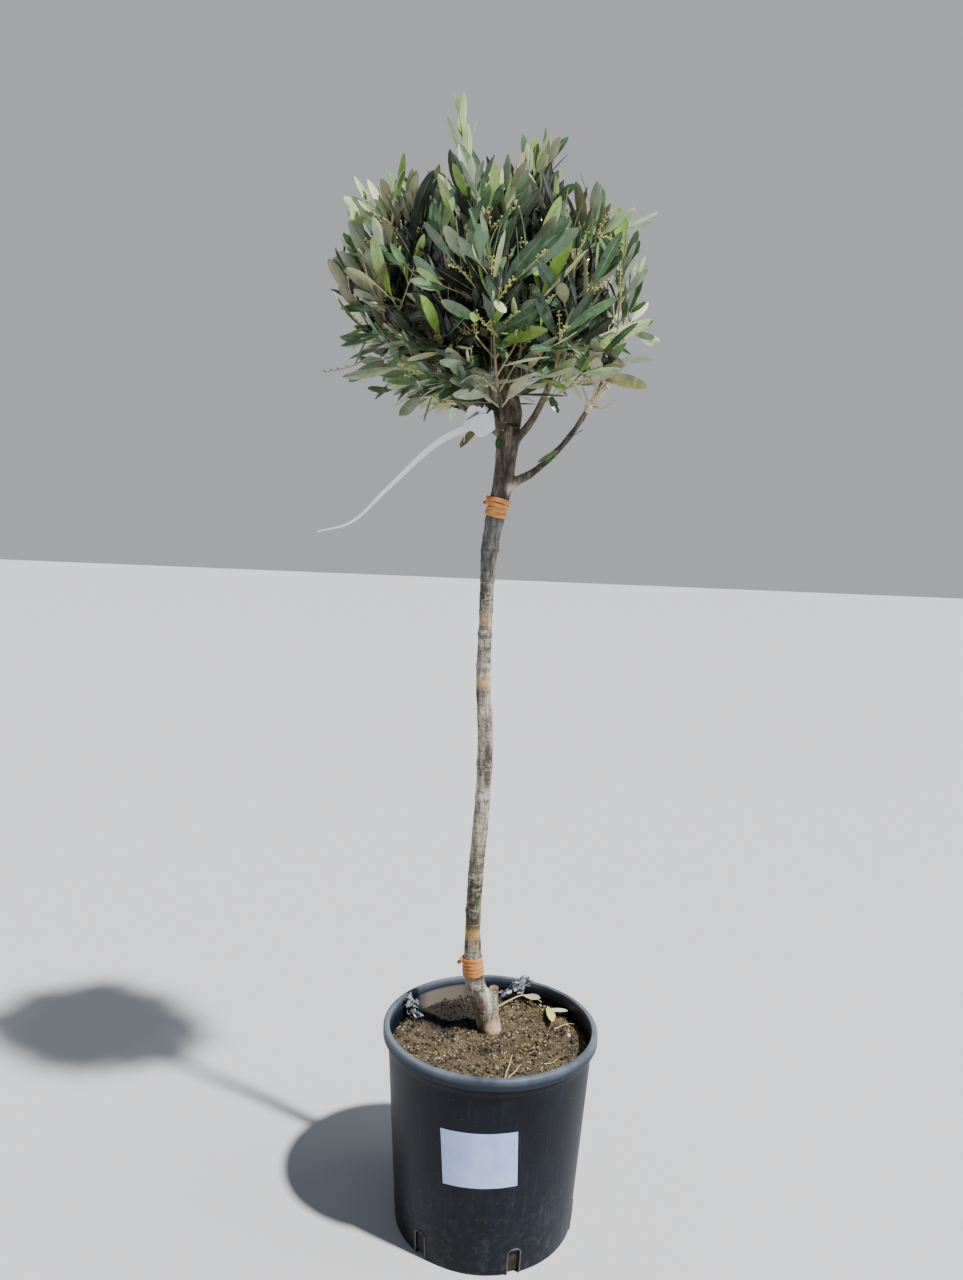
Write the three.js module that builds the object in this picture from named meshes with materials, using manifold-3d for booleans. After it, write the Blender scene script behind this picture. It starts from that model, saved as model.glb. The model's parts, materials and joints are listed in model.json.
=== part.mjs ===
// A small standard olive tree in a round nursery pot, in millimetres with +Z up.
// The origin is the centre of the pot's flat underside, and the usual view looks along +Y.
// The trunk and each bough are tapering limbs. Each mass of foliage grows by one seeded rule
// from a stem at its bough's tip, and keeps to its own space in the crown.
import * as THREE from "three";
import { mergeVertices } from "three/addons/utils/BufferGeometryUtils.js";
import Module from "manifold-3d";

const wasm = await Module();
wasm.setup();

const GAP = 0.3; // clearance between pieces that touch
const UP = new THREE.Vector3(0, 0, 1);
const point = (x, y, z) => new THREE.Vector3(x, y, z);
const radians = THREE.MathUtils.degToRad;
const lerp = THREE.MathUtils.lerp;

// Pot: a round tub that tapers to its foot, with a rolled lip and slots low in its wall.
const POT = {
  height: 220,
  lipRadius: 117.5,
  lipHeight: 12,
  lipEdge: 3,
  shoulderRadius: 112,
  footRadius: 98,
  footEdge: 2,
  wall: 2,
  floor: 3,
  sides: 40,
};
const SLOTS = { count: 6, first: -70, width: 12, height: 27, depth: 14 };

// Soil: fills the pot to just under its lip, level round the trunk's foot.
const SOIL = {
  level: 198,
  lump: 2.4,
  levelRadius: 27,
  hollow: { x: -52, y: 52, radius: 20, depth: 13 },
  rings: 5,
};

// Trunk: where its centre line passes at each height, and its radius there. It leaves the
// soil with a slant to the left, beside the stub of an older stem, and then runs nearly upright.
const TRUNK = [
  { z: 186, x: 2, y: 26, radius: 12.6 },
  { z: 200, x: -1, y: 26, radius: 13.4 },
  { z: 215, x: -5, y: 26, radius: 13.4 },
  { z: 232, x: -12, y: 25, radius: 12.2 },
  { z: 250, x: -19, y: 25, radius: 10.9 },
  { z: 272, x: -22.5, y: 23, radius: 10.2 },
  { z: 313, x: -24, y: 21, radius: 8.7 },
  { z: 373, x: -23.5, y: 18, radius: 8.5 },
  { z: 464, x: -19, y: 14, radius: 8.4 },
  { z: 530, x: -18.5, y: 12, radius: 8.6 },
  { z: 597, x: -23.5, y: 10, radius: 7.9 },
  { z: 652, x: -23.5, y: 8, radius: 7 },
  { z: 703, x: -23.5, y: 7, radius: 7.6 },
  { z: 742, x: -22, y: 5, radius: 8.9 },
  { z: 775, x: -17, y: 4, radius: 9.8 },
  { z: 800, x: -12, y: 3, radius: 10.4 },
  { z: 830, x: -9, y: 2, radius: 10.9 },
  { z: 858, x: -7, y: 1, radius: 11.8 },
  { z: 880, x: -5, y: 0, radius: 11 },
  { z: 892, x: -4, y: 0, radius: 7.5 },
];
const TRUNK_SIDES = 12;
const TRUNK_STEPS = 24;
const STUB = { z: 216, x: -3, y: 25, azimuth: 10, length: 5, rise: 31, radius: 6.2, sides: 8 };

// Crown: a flattened ball about its centre, drawn out in a few directions by tall shoots.
// An azimuth runs from +X towards +Y, so 270 faces the usual view. Angles are in degrees.
const CROWN = {
  centre: point(-36, 0, 1010),
  across: 162,
  deep: 143,
  high: 123,
  squareness: 2.05,
};
const SHOOTS = {
  spire: { azimuth: 190, elevation: 78, further: 0.58, width: 6.5 },
  tuft: { azimuth: 352, elevation: 65, further: 0.27, width: 10 },
  left_shoulder: { azimuth: 182, elevation: 31, further: 0.03, width: 16 },
  right_shoulder: { azimuth: 352, elevation: 22, further: 0.04, width: 16 },
  low_right_reach: { azimuth: 352, elevation: -24, further: 0.24, width: 15 },
  low_left_reach: { azimuth: 185, elevation: -36, further: 0.18, width: 13 },
  back_shoulder: { azimuth: 80, elevation: 52, further: 0.08, width: 15 },
};

// Limbs: each bough leaves its parent at a share of the parent's length, and heads for the
// heart of its mass. The heart lies at an azimuth and elevation from the crown's centre, and
// as far out as a share of the crown's reach. A bow makes a bough set out low and then rise.
const LIMBS = [
  {
    name: "top_right",
    parent: "trunk",
    at: 0.985,
    azimuth: 332,
    elevation: 58,
    radius: 6.6,
    bow: 0.13,
    out: 0.46,
    shoot: "tuft",
  },
  {
    name: "top_left",
    parent: "trunk",
    at: 0.99,
    azimuth: 212,
    elevation: 58,
    radius: 6,
    bow: 0.1,
    out: 0.46,
    shoot: "spire",
  },
  {
    name: "top_back",
    parent: "top_left",
    at: 0.3,
    azimuth: 92,
    elevation: 52,
    radius: 4.6,
    bow: 0.06,
    out: 0.5,
  },
  { name: "right", parent: "trunk", at: 0.93, azimuth: 334, elevation: 4, radius: 4.8, bow: 0.26 },
  {
    name: "back_right",
    parent: "top_right",
    at: 0.24,
    azimuth: 32,
    elevation: 8,
    radius: 4.4,
    bow: 0.1,
  },
  { name: "back", parent: "top_back", at: 0.2, azimuth: 90, elevation: 2, radius: 3.8, bow: 0.04 },
  { name: "back_left", parent: "trunk", at: 0.972, azimuth: 150, elevation: 8, radius: 5, bow: 0.2 },
  { name: "left", parent: "trunk", at: 0.955, azimuth: 208, elevation: 8, radius: 4.8, bow: 0.2 },
  { name: "front", parent: "top_left", at: 0.2, azimuth: 270, elevation: 6, radius: 4.2, bow: 0.06 },
  {
    name: "low_right",
    parent: "trunk",
    at: 0.872,
    azimuth: 352,
    elevation: -30,
    radius: 4.4,
    bow: 0.22,
    out: 0.84,
  },
  { name: "low_left", parent: "trunk", at: 0.945, azimuth: 190, elevation: -36, radius: 3.8, bow: 0.12 },
  { name: "low_front", parent: "trunk", at: 0.935, azimuth: 276, elevation: -34, radius: 3.6, bow: 0.12 },
  { name: "low_back", parent: "trunk", at: 0.915, azimuth: 92, elevation: -36, radius: 4, bow: 0.12 },
];
const HEART_OUT = 0.62; // how far out a heart lies where its limb doesn't say
const LIMB_TIP = 0.5; // a bough's radius at its tip, as a share of its root's
const LIMB_SIDES = 5;
const LIMB_STEPS = 4;
const LIMB_TAPER = 0.8; // below 1, a bough thins more near its root
const LEAST_LIMB = 0.5; // least share of the way to its heart that a bough covers
const BOUGH_MARGIN = 6; // how far inside its mass's space a bough ends

// Foliage: the sizes that the growth rule works from. The leaves are larger than life,
// because each stands for two or three.
const SPACE_MARGIN = 0.6; // what a mass keeps from the wall of its space
const STEM = { radius: 3, tip: 2, spacing: 17, first: 8, raised: 12, room: 34, pull: 0.35 };
const TWIG = { radius: 1.05, tip: 0.8, length: 78, least: 12, room: 30, spread: 42, rise: 0.22 };
const LEAF = {
  length: 64,
  width: 18,
  thickness: 0.75,
  widest: 0.45,
  spacing: 9,
  spread: 40,
  rise: 0.34,
  sunk: 0.18, // the share of its length at its root that may cross what has grown
  most: 39, // in one mass
};
const LEAF_SHARES = [1, 0.87, 0.75, 0.63, 0.5]; // the sizes tried, until one fits its place
const FARTHEST = 200; // more than the distance between any two leaves of a mass
const SEED = 21;

// Fastenings and labels, all plain.
const TIES = [
  { name: "tie_upper", z: 781, high: 21, proud: 2.6, winds: 3, sides: 12 },
  { name: "tie_lower", z: 273, high: 21, proud: 2.6, winds: 3, sides: 12 },
];
const LABEL = { width: 78, height: 60, thickness: 0.3, azimuth: 267, z: 129, turn: 3, sides: 12 };
const TAG = {
  bough: "left",
  at: 0.2,
  head: 30,
  thickness: 0.9,
  loopWidth: 7,
  loopSides: 8,
  loopRoom: 0.6, // more than the gap, because the bough tapers through the loop
  strapWidth: 7,
  strapTip: 4,
  strapRoom: 5,
  // the strap's way from the middle of the head: to the right, and up
  strap: [
    [-9, -3],
    [-43, -22],
    [-93, -70],
    [-130, -106],
    [-165, -117],
  ],
};

// Numbers in a fixed order from a seed, so that the same tree grows every time.
function seeded(seed) {
  let state = seed >>> 0;
  return (low = 0, high = 1) => {
    state = (Math.imul(state, 1664525) + 1013904223) >>> 0;
    return low + ((high - low) * state) / 4294967296;
  };
}

function direction(azimuth, elevation) {
  const flat = Math.cos(radians(elevation));
  return point(
    flat * Math.cos(radians(azimuth)),
    flat * Math.sin(radians(azimuth)),
    Math.sin(radians(elevation)),
  );
}

// A closed three.js geometry as a solid that can be joined and cut.
function solidFrom(geometry) {
  const bare = new THREE.BufferGeometry();
  bare.setAttribute("position", geometry.getAttribute("position").clone());
  if (geometry.index) bare.setIndex(geometry.index);
  const merged = mergeVertices(bare, 1e-4);
  return new wasm.Manifold(
    new wasm.Mesh({
      numProp: 3,
      vertProperties: new Float32Array(merged.attributes.position.array),
      triVerts: new Uint32Array(merged.index.array),
    }),
  );
}

// The largest body of a solid, as a three.js geometry. Loose scraps and sealed bubbles go.
function geometryFrom(solid) {
  const bodies = solid.decompose().sort((a, b) => b.volume() - a.volume());
  const mesh = bodies[0].getMesh();
  return new THREE.BufferGeometry()
    .setAttribute("position", new THREE.BufferAttribute(mesh.vertProperties, 3))
    .setIndex(new THREE.BufferAttribute(mesh.triVerts, 1));
}

const joined = (solids) => solids.reduce((whole, next) => whole.add(next));

const plainBox = (sizeX, sizeY, sizeZ, centre) =>
  new THREE.BoxGeometry(sizeX, sizeY, sizeZ).translate(centre.x, centre.y, centre.z);

// A round solid about the Z axis from its outline, given as radius and height.
function turned(outline, sides) {
  const lathe = new THREE.LatheGeometry(
    outline.map(([radius, z]) => new THREE.Vector2(radius, z)),
    sides,
  );
  return lathe.rotateX(Math.PI / 2);
}

// A cylinder bent on to a curve, with its radius given along it: a limb, stem or twig.
function limbGeometry(curve, radiusAt, sides, steps) {
  const geometry = new THREE.CylinderGeometry(1, 1, 1, sides, steps);
  const { normals, binormals } = curve.computeFrenetFrames(steps);
  const place = geometry.attributes.position;
  const spot = point(0, 0, 0);
  for (let i = 0; i < place.count; i += 1) {
    spot.fromBufferAttribute(place, i);
    const share = spot.y + 0.5;
    const station = Math.round(share * steps);
    const radius = radiusAt(share);
    const along = curve.getPointAt(THREE.MathUtils.clamp(share, 0, 1));
    along.addScaledVector(normals[station], spot.x * radius);
    along.addScaledVector(binormals[station], -spot.z * radius);
    place.setXYZ(i, along.x, along.y, along.z);
  }
  return geometry;
}

// Pot

function wallRadius(z) {
  return lerp(POT.footRadius, POT.shoulderRadius, z / (POT.height - POT.lipHeight));
}

function potGeometry() {
  const { height, lipRadius, lipHeight, lipEdge, footEdge, footRadius, wall, floor } = POT;
  const underLip = height - lipHeight;
  const outline = [
    [0, 0],
    [footRadius - footEdge, 0],
    [footRadius, footEdge],
    [wallRadius(underLip), underLip],
    [lipRadius - 1, underLip],
    [lipRadius, underLip + lipEdge],
    [lipRadius, height - lipEdge],
    [lipRadius - lipEdge, height],
    [wallRadius(height) - wall + 1, height],
    [wallRadius(height) - wall, height - 1],
    [wallRadius(floor) - wall, floor],
    [0, floor],
  ];
  const tub = solidFrom(turned(outline, POT.sides));
  const slots = Array.from({ length: SLOTS.count }, (_, i) => {
    const box = plainBox(
      SLOTS.depth,
      SLOTS.width,
      SLOTS.height,
      point(POT.footRadius, 0, SLOTS.height / 2 - 1),
    );
    return solidFrom(box.rotateZ(radians(SLOTS.first + (i * 360) / SLOTS.count)));
  });
  return geometryFrom(tub.subtract(joined(slots)));
}

// Soil: a round plug with a lumpy top

function soilHeight(x, y) {
  const foot = Math.hypot(x - TRUNK[1].x, y - TRUNK[1].y);
  const loose = THREE.MathUtils.smoothstep(foot, SOIL.levelRadius, SOIL.levelRadius * 2);
  const lumps = Math.sin(x / 17 + 1) * Math.cos(y / 23) + 0.6 * Math.sin(x / 9 - y / 11);
  const { hollow } = SOIL;
  const away = Math.hypot(x - hollow.x, y - hollow.y) / hollow.radius;
  return SOIL.level + loose * (SOIL.lump * lumps - hollow.depth * Math.exp(-away * away));
}

function soilGeometry() {
  const edge = (z) => wallRadius(z) - POT.wall - GAP;
  const bottom = POT.floor + GAP;
  const rim = edge(SOIL.level);
  const outline = [[0, bottom], [edge(bottom), bottom], [rim, SOIL.level]];
  for (let ring = SOIL.rings - 1; ring >= 0; ring -= 1) {
    outline.push([(rim * ring) / SOIL.rings, SOIL.level]);
  }
  const geometry = turned(outline, POT.sides);
  const place = geometry.attributes.position;
  for (let i = 0; i < place.count; i += 1) {
    const x = place.getX(i);
    const y = place.getY(i);
    const onTop = place.getZ(i) > SOIL.level - 1 && Math.hypot(x, y) < rim - 1;
    if (onTop) place.setZ(i, soilHeight(x, y));
  }
  return geometry;
}

// Trunk and boughs

const centreLine = (stations) =>
  new THREE.CatmullRomCurve3(stations.map(({ x, y, z }) => point(x, y, z)), false, "centripetal");

const trunkCurve = centreLine(TRUNK);

function trunkRadius(share) {
  const { z } = trunkCurve.getPointAt(THREE.MathUtils.clamp(share, 0, 1));
  const above = TRUNK.findIndex((station) => station.z > z);
  if (above === -1) return TRUNK.at(-1).radius;
  if (above === 0) return TRUNK[0].radius;
  const [low, high] = [TRUNK[above - 1], TRUNK[above]];
  return lerp(low.radius, high.radius, (z - low.z) / (high.z - low.z));
}

// How far the crown reaches from its centre in a direction.
function crownReach(towards) {
  const { across, deep, high, squareness } = CROWN;
  const sum =
    Math.abs(towards.x / across) ** squareness +
    Math.abs(towards.y / deep) ** squareness +
    Math.abs(towards.z / high) ** squareness;
  let reach = sum ** (-1 / squareness);
  for (const shoot of Object.values(SHOOTS)) {
    const off = towards.angleTo(direction(shoot.azimuth, shoot.elevation)) / radians(shoot.width);
    reach *= 1 + shoot.further * Math.exp(-off * off);
  }
  return reach;
}

function inCrown(spot) {
  const out = spot.clone().sub(CROWN.centre);
  const far = out.length();
  return far < 1 || far <= crownReach(out.divideScalar(far));
}

for (const limb of LIMBS) {
  const towards = direction(limb.azimuth, limb.elevation);
  const far = (limb.out ?? HEART_OUT) * crownReach(towards);
  limb.heart = CROWN.centre.clone().addScaledVector(towards, far);
}

// A mass keeps to the points that lie nearer to its own heart than to any other.
function inSpace(limb, spot, margin) {
  if (!inCrown(spot)) return false;
  return LIMBS.every((other) => {
    if (other === limb) return true;
    const across = other.heart.clone().sub(limb.heart);
    const middle = other.heart.clone().add(limb.heart).multiplyScalar(0.5);
    return spot.clone().sub(middle).dot(across) / across.length() < -margin;
  });
}

const routes = new Map([["trunk", { curve: trunkCurve, radiusAt: trunkRadius }]]);

// The route of a bough, from inside its parent to the point where it enters its mass.
function layOut(limb) {
  const root = routes.get(limb.parent).curve.getPointAt(limb.at);
  const span = limb.heart.clone().sub(root);
  const outward = point(span.x, span.y, 0).normalize();
  const bend = root.clone().addScaledVector(span, 0.5);
  bend.addScaledVector(UP, -limb.bow * span.length());
  bend.addScaledVector(outward, limb.bow * 0.5 * span.length());
  const whole = new THREE.QuadraticBezierCurve3(root, bend, limb.heart);
  let enters = LEAST_LIMB;
  while (enters < 0.9 && !inSpace(limb, whole.getPointAt(enters), BOUGH_MARGIN)) enters += 0.02;
  const stations = [0, 0.25, 0.5, 0.75, 1].map((share) => whole.getPointAt(share * enters));
  limb.whole = whole;
  limb.enters = enters;
  const tip = limb.radius * LIMB_TIP;
  routes.set(limb.name, {
    curve: new THREE.CatmullRomCurve3(stations),
    radiusAt: (share) => lerp(limb.radius, tip, share ** LIMB_TAPER),
  });
}
LIMBS.forEach(layOut);

function limbSolid(name, sides, steps, swell = 0) {
  const { curve, radiusAt } = routes.get(name);
  return solidFrom(limbGeometry(curve, (share) => radiusAt(share) + swell, sides, steps));
}

const swollenTrunk = limbSolid("trunk", TRUNK_SIDES, TRUNK_STEPS, GAP);

function trunkGeometry() {
  const { x, y, z, azimuth, length, rise, radius, sides } = STUB;
  const start = point(x, y, z);
  const end = start.clone().addScaledVector(direction(azimuth, 0), length);
  end.addScaledVector(UP, rise);
  const stub = limbGeometry(new THREE.LineCurve3(start, end), () => radius, sides, 1);
  const below = plainBox(200, 200, 100, point(0, 0, SOIL.level + GAP - 50));
  const limb = limbSolid("trunk", TRUNK_SIDES, TRUNK_STEPS).add(solidFrom(stub));
  return geometryFrom(limb.subtract(solidFrom(below)));
}

// Each bough is cut clear of the trunk and of the boughs before it.
function boughGeometries() {
  const before = [swollenTrunk];
  return LIMBS.map((limb) => {
    let bough = limbSolid(limb.name, LIMB_SIDES, LIMB_STEPS);
    for (const solid of before) bough = bough.subtract(solid);
    before.push(limbSolid(limb.name, LIMB_SIDES, LIMB_STEPS, GAP));
    return geometryFrom(bough);
  });
}

// Foliage

// The middle of the tag's head, in front of the bough that it hangs from.
function tagMiddle() {
  const { curve, radiusAt } = routes.get(TAG.bough);
  const forward = radiusAt(TAG.at) + TAG.loopRoom + TAG.thickness / 2;
  return curve.getPointAt(TAG.at).add(point(-2, -forward, -TAG.head * 0.45));
}

function strapCurve() {
  const { x, y, z } = tagMiddle();
  const front = y - TAG.thickness;
  return new THREE.CatmullRomCurve3(
    TAG.strap.map(([right, up], i) => point(x + right, front - 2 * Math.min(i, 1), z + up)),
  );
}

// Points down the middle of every limb and of the tag's strap, with the room that each needs.
const strap = { curve: strapCurve(), radiusAt: () => TAG.strapRoom };
const taken = [...routes.values(), strap].flatMap(({ curve, radiusAt }) => {
  const count = Math.ceil(curve.getLength() / 4);
  return Array.from({ length: count + 1 }, (_, i) => ({
    spot: curve.getPointAt(i / count),
    radius: radiusAt(i / count) + GAP,
  }));
});

const clearOfLimbs = (spot, room) =>
  taken.every((limb) => limb.spot.distanceTo(spot) > limb.radius + room);

// A short leaf is broader for its length than a long one.
const leafWidth = (length) => LEAF.width * (length / LEAF.length) ** 0.5;

const alongLeaf = ({ root, towards }, length, share) =>
  root.clone().addScaledVector(towards, length * share);

// A leaf from its root towards its tip: an octahedron drawn out long and flat, whose lowest
// corner is folded into a side one, so that it has a flat underside and a keel on top.
function leafGeometry(root, towards, facing, length) {
  const side = towards.clone().cross(facing).normalize();
  const shape = new THREE.OctahedronGeometry(1);
  const place = shape.attributes.position;
  const half = leafWidth(length) / 2;
  for (let i = 0; i < place.count; i += 1) {
    const [x, y, z] = [place.getX(i), place.getY(i), place.getZ(i)];
    const alongIt = Math.abs(y) < 0.5 ? LEAF.widest : (y + 1) / 2;
    const sideways = z < -0.5 ? 1 : x;
    place.setXYZ(i, sideways * half, alongIt * length, Math.max(z, 0) * LEAF.thickness);
  }
  const turn = new THREE.Matrix4().makeBasis(side, towards, side.clone().cross(towards));
  return shape.applyMatrix4(turn.setPosition(root));
}

// The directions of a pair of shoots or leaves that leave an axis at an angle.
function pairDirections(axis, turn, spread, rise) {
  const across = Math.abs(axis.z) > 0.9 ? point(1, 0, 0) : UP;
  const sideways = axis.clone().cross(across).normalize();
  return [0, Math.PI].map((half) => {
    const out = sideways.clone().applyAxisAngle(axis, turn + half);
    const towards = axis.clone().multiplyScalar(Math.cos(spread));
    return towards.addScaledVector(out, Math.sin(spread)).addScaledVector(UP, rise).normalize();
  });
}

// How far a shoot can run from its root before it leaves the mass's space or meets a limb.
function freeRun(limb, root, towards, most) {
  const step = 3;
  for (let run = step; run <= most; run += step) {
    const spot = root.clone().addScaledVector(towards, run);
    if (!inSpace(limb, spot, SPACE_MARGIN + 1) || !clearOfLimbs(spot, 1.5)) return run - step;
  }
  return most;
}

// A mass's stem: from its bough's tip past its heart, and up towards the crown's outside.
function stemCurve(limb) {
  const tip = routes.get(limb.name).curve.getPointAt(1);
  const heading = limb.whole.getTangentAt(limb.enters);
  const root = tip.clone().addScaledVector(heading, GAP + 0.2);
  const raised = { azimuth: limb.azimuth, elevation: limb.elevation + STEM.raised };
  const shoot = SHOOTS[limb.shoot] ?? raised;
  const outward = direction(shoot.azimuth, shoot.elevation);
  const end = CROWN.centre.clone().addScaledVector(outward, crownReach(outward) - STEM.room);
  while (!inSpace(limb, end, 4)) end.lerp(limb.heart, 0.1);
  const pull = root.distanceTo(end) * STEM.pull;
  const sets = root.clone().addScaledVector(heading, pull);
  const arrives = end.clone().addScaledVector(outward, -pull);
  return new THREE.CubicBezierCurve3(root, sets, arrives, end);
}

// The twigs of a mass: pairs that leave its stem in turn, and one at the stem's end. Each
// is as long as the room for it allows, and one with too little room is only a leaf's seat.
function growTwigs(limb, number, stem) {
  const random = seeded(SEED + number * 7919);
  const length = stem.getLength();
  const twigs = [];
  const grow = (root, towards) => {
    const wanted = TWIG.length * random(0.8, 1.15);
    const run = freeRun(limb, root, towards, wanted + TWIG.room) - TWIG.room;
    twigs.push({ root, towards, length: run < TWIG.least ? 0 : run });
  };
  let turn = random(0, Math.PI);
  for (let along = STEM.first; along < length - 4; along += STEM.spacing) {
    const root = stem.getPointAt(along / length);
    const axis = stem.getTangentAt(along / length);
    const spread = radians(TWIG.spread * random(0.85, 1.25));
    for (const towards of pairDirections(axis, turn, spread, TWIG.rise)) grow(root, towards);
    turn += Math.PI / 2 + random(-0.3, 0.3);
  }
  grow(stem.getPointAt(0.99), stem.getTangentAt(1));
  return twigs;
}

// Where leaves sit on a twig: one at its tip, and pairs that each turn a quarter.
function leafPlaces(twig, number) {
  const random = seeded(SEED + number * 104729);
  const { root, towards, length } = twig;
  const end = root.clone().addScaledVector(towards, Math.max(length - 1.5, 0));
  const lean = towards.clone().addScaledVector(UP, random(0.05, 0.25)).normalize();
  let turn = random(0, Math.PI);
  const facing = pairDirections(lean, turn, Math.PI / 2, 0)[0];
  const first = LEAF.length * random(0.8, 1.05);
  const places = [{ root: end, towards: lean, blade: facing, size: first }];
  for (let back = 2; back < length - 6; back += LEAF.spacing) {
    const spot = end.clone().addScaledVector(towards, -back);
    const spread = radians(LEAF.spread * random(0.8, 1.3));
    for (const side of pairDirections(towards, turn, spread, LEAF.rise)) {
      const size = LEAF.length * random(0.75, 1.1);
      places.push({ root: spot, towards: side, blade: towards, size });
    }
    turn += Math.PI / 2;
  }
  return places;
}

// Whether a leaf stays in its mass's space and clear of the limbs.
function leafFits(limb, place, size, leaf) {
  const corners = leaf.attributes.position;
  const spot = point(0, 0, 0);
  for (let i = 0; i < corners.count; i += 1) {
    if (!inSpace(limb, spot.fromBufferAttribute(corners, i), SPACE_MARGIN)) return false;
  }
  const room = leafWidth(size) / 2 + GAP;
  return [0.3, 0.45, 0.6, 0.8, 1].every((share) => clearOfLimbs(alongLeaf(place, size, share), room));
}

// Every place for a leaf on the twigs, with the largest leaf that fits it.
function leafChoices(limb, number, twigs) {
  const choices = [];
  for (const place of twigs.flatMap((twig, i) => leafPlaces(twig, number * 100 + i))) {
    const share = LEAF_SHARES.find((tried) => {
      const leaf = leafGeometry(place.root, place.towards, place.blade, place.size * tried);
      return leafFits(limb, place, place.size * tried, leaf);
    });
    if (!share) continue;
    const size = place.size * share;
    choices.push({ ...place, size, middle: alongLeaf(place, size, 0.6) });
  }
  return choices;
}

// Adds leaves one by one, each as far as may be from those before it. A leaf that would
// cross what has grown already is left out.
function withLeaves(grown, choices) {
  let whole = grown;
  let leaves = 0;
  for (const choice of choices) {
    choice.clear = FARTHEST + choice.middle.distanceTo(CROWN.centre);
  }
  while (leaves < LEAF.most && choices.length > 0) {
    choices.sort((a, b) => a.clear - b.clear);
    const next = choices.pop();
    const { root, towards, blade, size } = next;
    const free = alongLeaf(next, size, LEAF.sunk);
    const outer = leafGeometry(free, towards, blade, size * (1 - LEAF.sunk));
    if (!solidFrom(outer).intersect(whole).isEmpty()) continue;
    whole = whole.add(solidFrom(leafGeometry(root, towards, blade, size)));
    leaves += 1;
    for (const choice of choices) {
      choice.clear = Math.min(choice.clear, choice.middle.distanceTo(next.middle));
    }
  }
  return whole;
}

// A mass: its stem, twigs and leaves grown into one solid.
function massGeometry(limb, number) {
  const stem = stemCurve(limb);
  const stemRadius = (share) => lerp(STEM.radius, STEM.tip, share);
  const twigRadius = (share) => lerp(TWIG.radius, TWIG.tip, share);
  const twigs = growTwigs(limb, number, stem);
  let grown = solidFrom(limbGeometry(stem, stemRadius, 3, 4));
  for (const { root, towards, length } of twigs.filter((twig) => twig.length > 0)) {
    const line = new THREE.LineCurve3(root, root.clone().addScaledVector(towards, length));
    grown = grown.add(solidFrom(limbGeometry(line, twigRadius, 3, 1)));
  }
  return geometryFrom(withLeaves(grown, leafChoices(limb, number, twigs)));
}

// Ties, label and tag

// A tie: a ribbed band drawn snug round the trunk.
function tieGeometry(tie) {
  const share = routeShareAt(tie.z);
  const inner = trunkRadius(share);
  const outline = [[0, -tie.high / 2]];
  for (let wind = 0; wind < tie.winds; wind += 1) {
    const low = -tie.high / 2 + (wind * tie.high) / tie.winds;
    outline.push([inner + tie.proud * 0.5, low + 0.2]);
    outline.push([inner + tie.proud, low + tie.high / tie.winds / 2]);
  }
  outline.push([inner + tie.proud * 0.5, tie.high / 2 - 0.2], [0, tie.high / 2]);
  const band = turned(outline, tie.sides);
  const lean = new THREE.Quaternion().setFromUnitVectors(UP, trunkCurve.getTangentAt(share));
  const middle = trunkCurve.getPointAt(share);
  band.applyMatrix4(new THREE.Matrix4().compose(middle, lean, point(1, 1, 1)));
  return geometryFrom(solidFrom(band).subtract(swollenTrunk));
}

// The share of the trunk's length at which it passes a height.
function routeShareAt(z) {
  let share = 0;
  while (trunkCurve.getPointAt(share).z < z) share += 0.001;
  return share;
}

// The label: a thin sheet curved round the pot's wall.
function labelGeometry() {
  const { width, height, thickness, azimuth, z, turn, sides } = LABEL;
  const sheet = new THREE.BoxGeometry(width, height, thickness, sides, 2, 1);
  sheet.rotateZ(radians(turn));
  const place = sheet.attributes.position;
  const clear = GAP / Math.cos(Math.PI / POT.sides);
  for (let i = 0; i < place.count; i += 1) {
    const level = z + place.getY(i);
    const out = wallRadius(level) + clear + thickness / 2 + place.getZ(i);
    const angle = radians(azimuth) + place.getX(i) / wallRadius(z);
    place.setXYZ(i, out * Math.cos(angle), out * Math.sin(angle), level);
  }
  return sheet;
}

// The tag: a loop round a bough, a head in front of it, and a long strap that runs out to the
// left, droops, and turns its edge as it goes.
function tagGeometry() {
  const { curve, radiusAt } = routes.get(TAG.bough);
  const inner = (radiusAt(TAG.at) + TAG.loopRoom) / Math.cos(Math.PI / TAG.loopSides);
  const outer = inner + TAG.thickness;
  const half = TAG.loopWidth / 2;
  const section = [[inner, -half], [outer, -half], [outer, half], [inner, half], [inner, -half]];
  const loop = turned(section, TAG.loopSides);
  const lean = new THREE.Quaternion().setFromUnitVectors(UP, curve.getTangentAt(TAG.at));
  const middle = curve.getPointAt(TAG.at);
  loop.applyMatrix4(new THREE.Matrix4().compose(middle, lean, point(1, 1, 1)));
  return geometryFrom(solidFrom(loop).add(tagHead()).add(tagStrap()));
}

function tagHead() {
  const half = TAG.head / 2;
  const corners = [
    [-1, -0.24],
    [-0.55, -0.4],
    [-0.2, -0.95],
    [0.9, -0.75],
    [1, 0.2],
    [0.75, 0.6],
    [0.45, 0.7],
    [0.4, 1],
    [-0.1, 1],
    [-0.4, 0.6],
    [-1, 0.24],
  ].map(([x, y]) => new THREE.Vector2(x * half, y * half));
  const plate = new THREE.ExtrudeGeometry(new THREE.Shape(corners), {
    depth: TAG.thickness,
    bevelEnabled: false,
  });
  const { x, y, z } = tagMiddle();
  return solidFrom(plate.rotateX(Math.PI / 2).translate(x, y, z));
}

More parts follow.
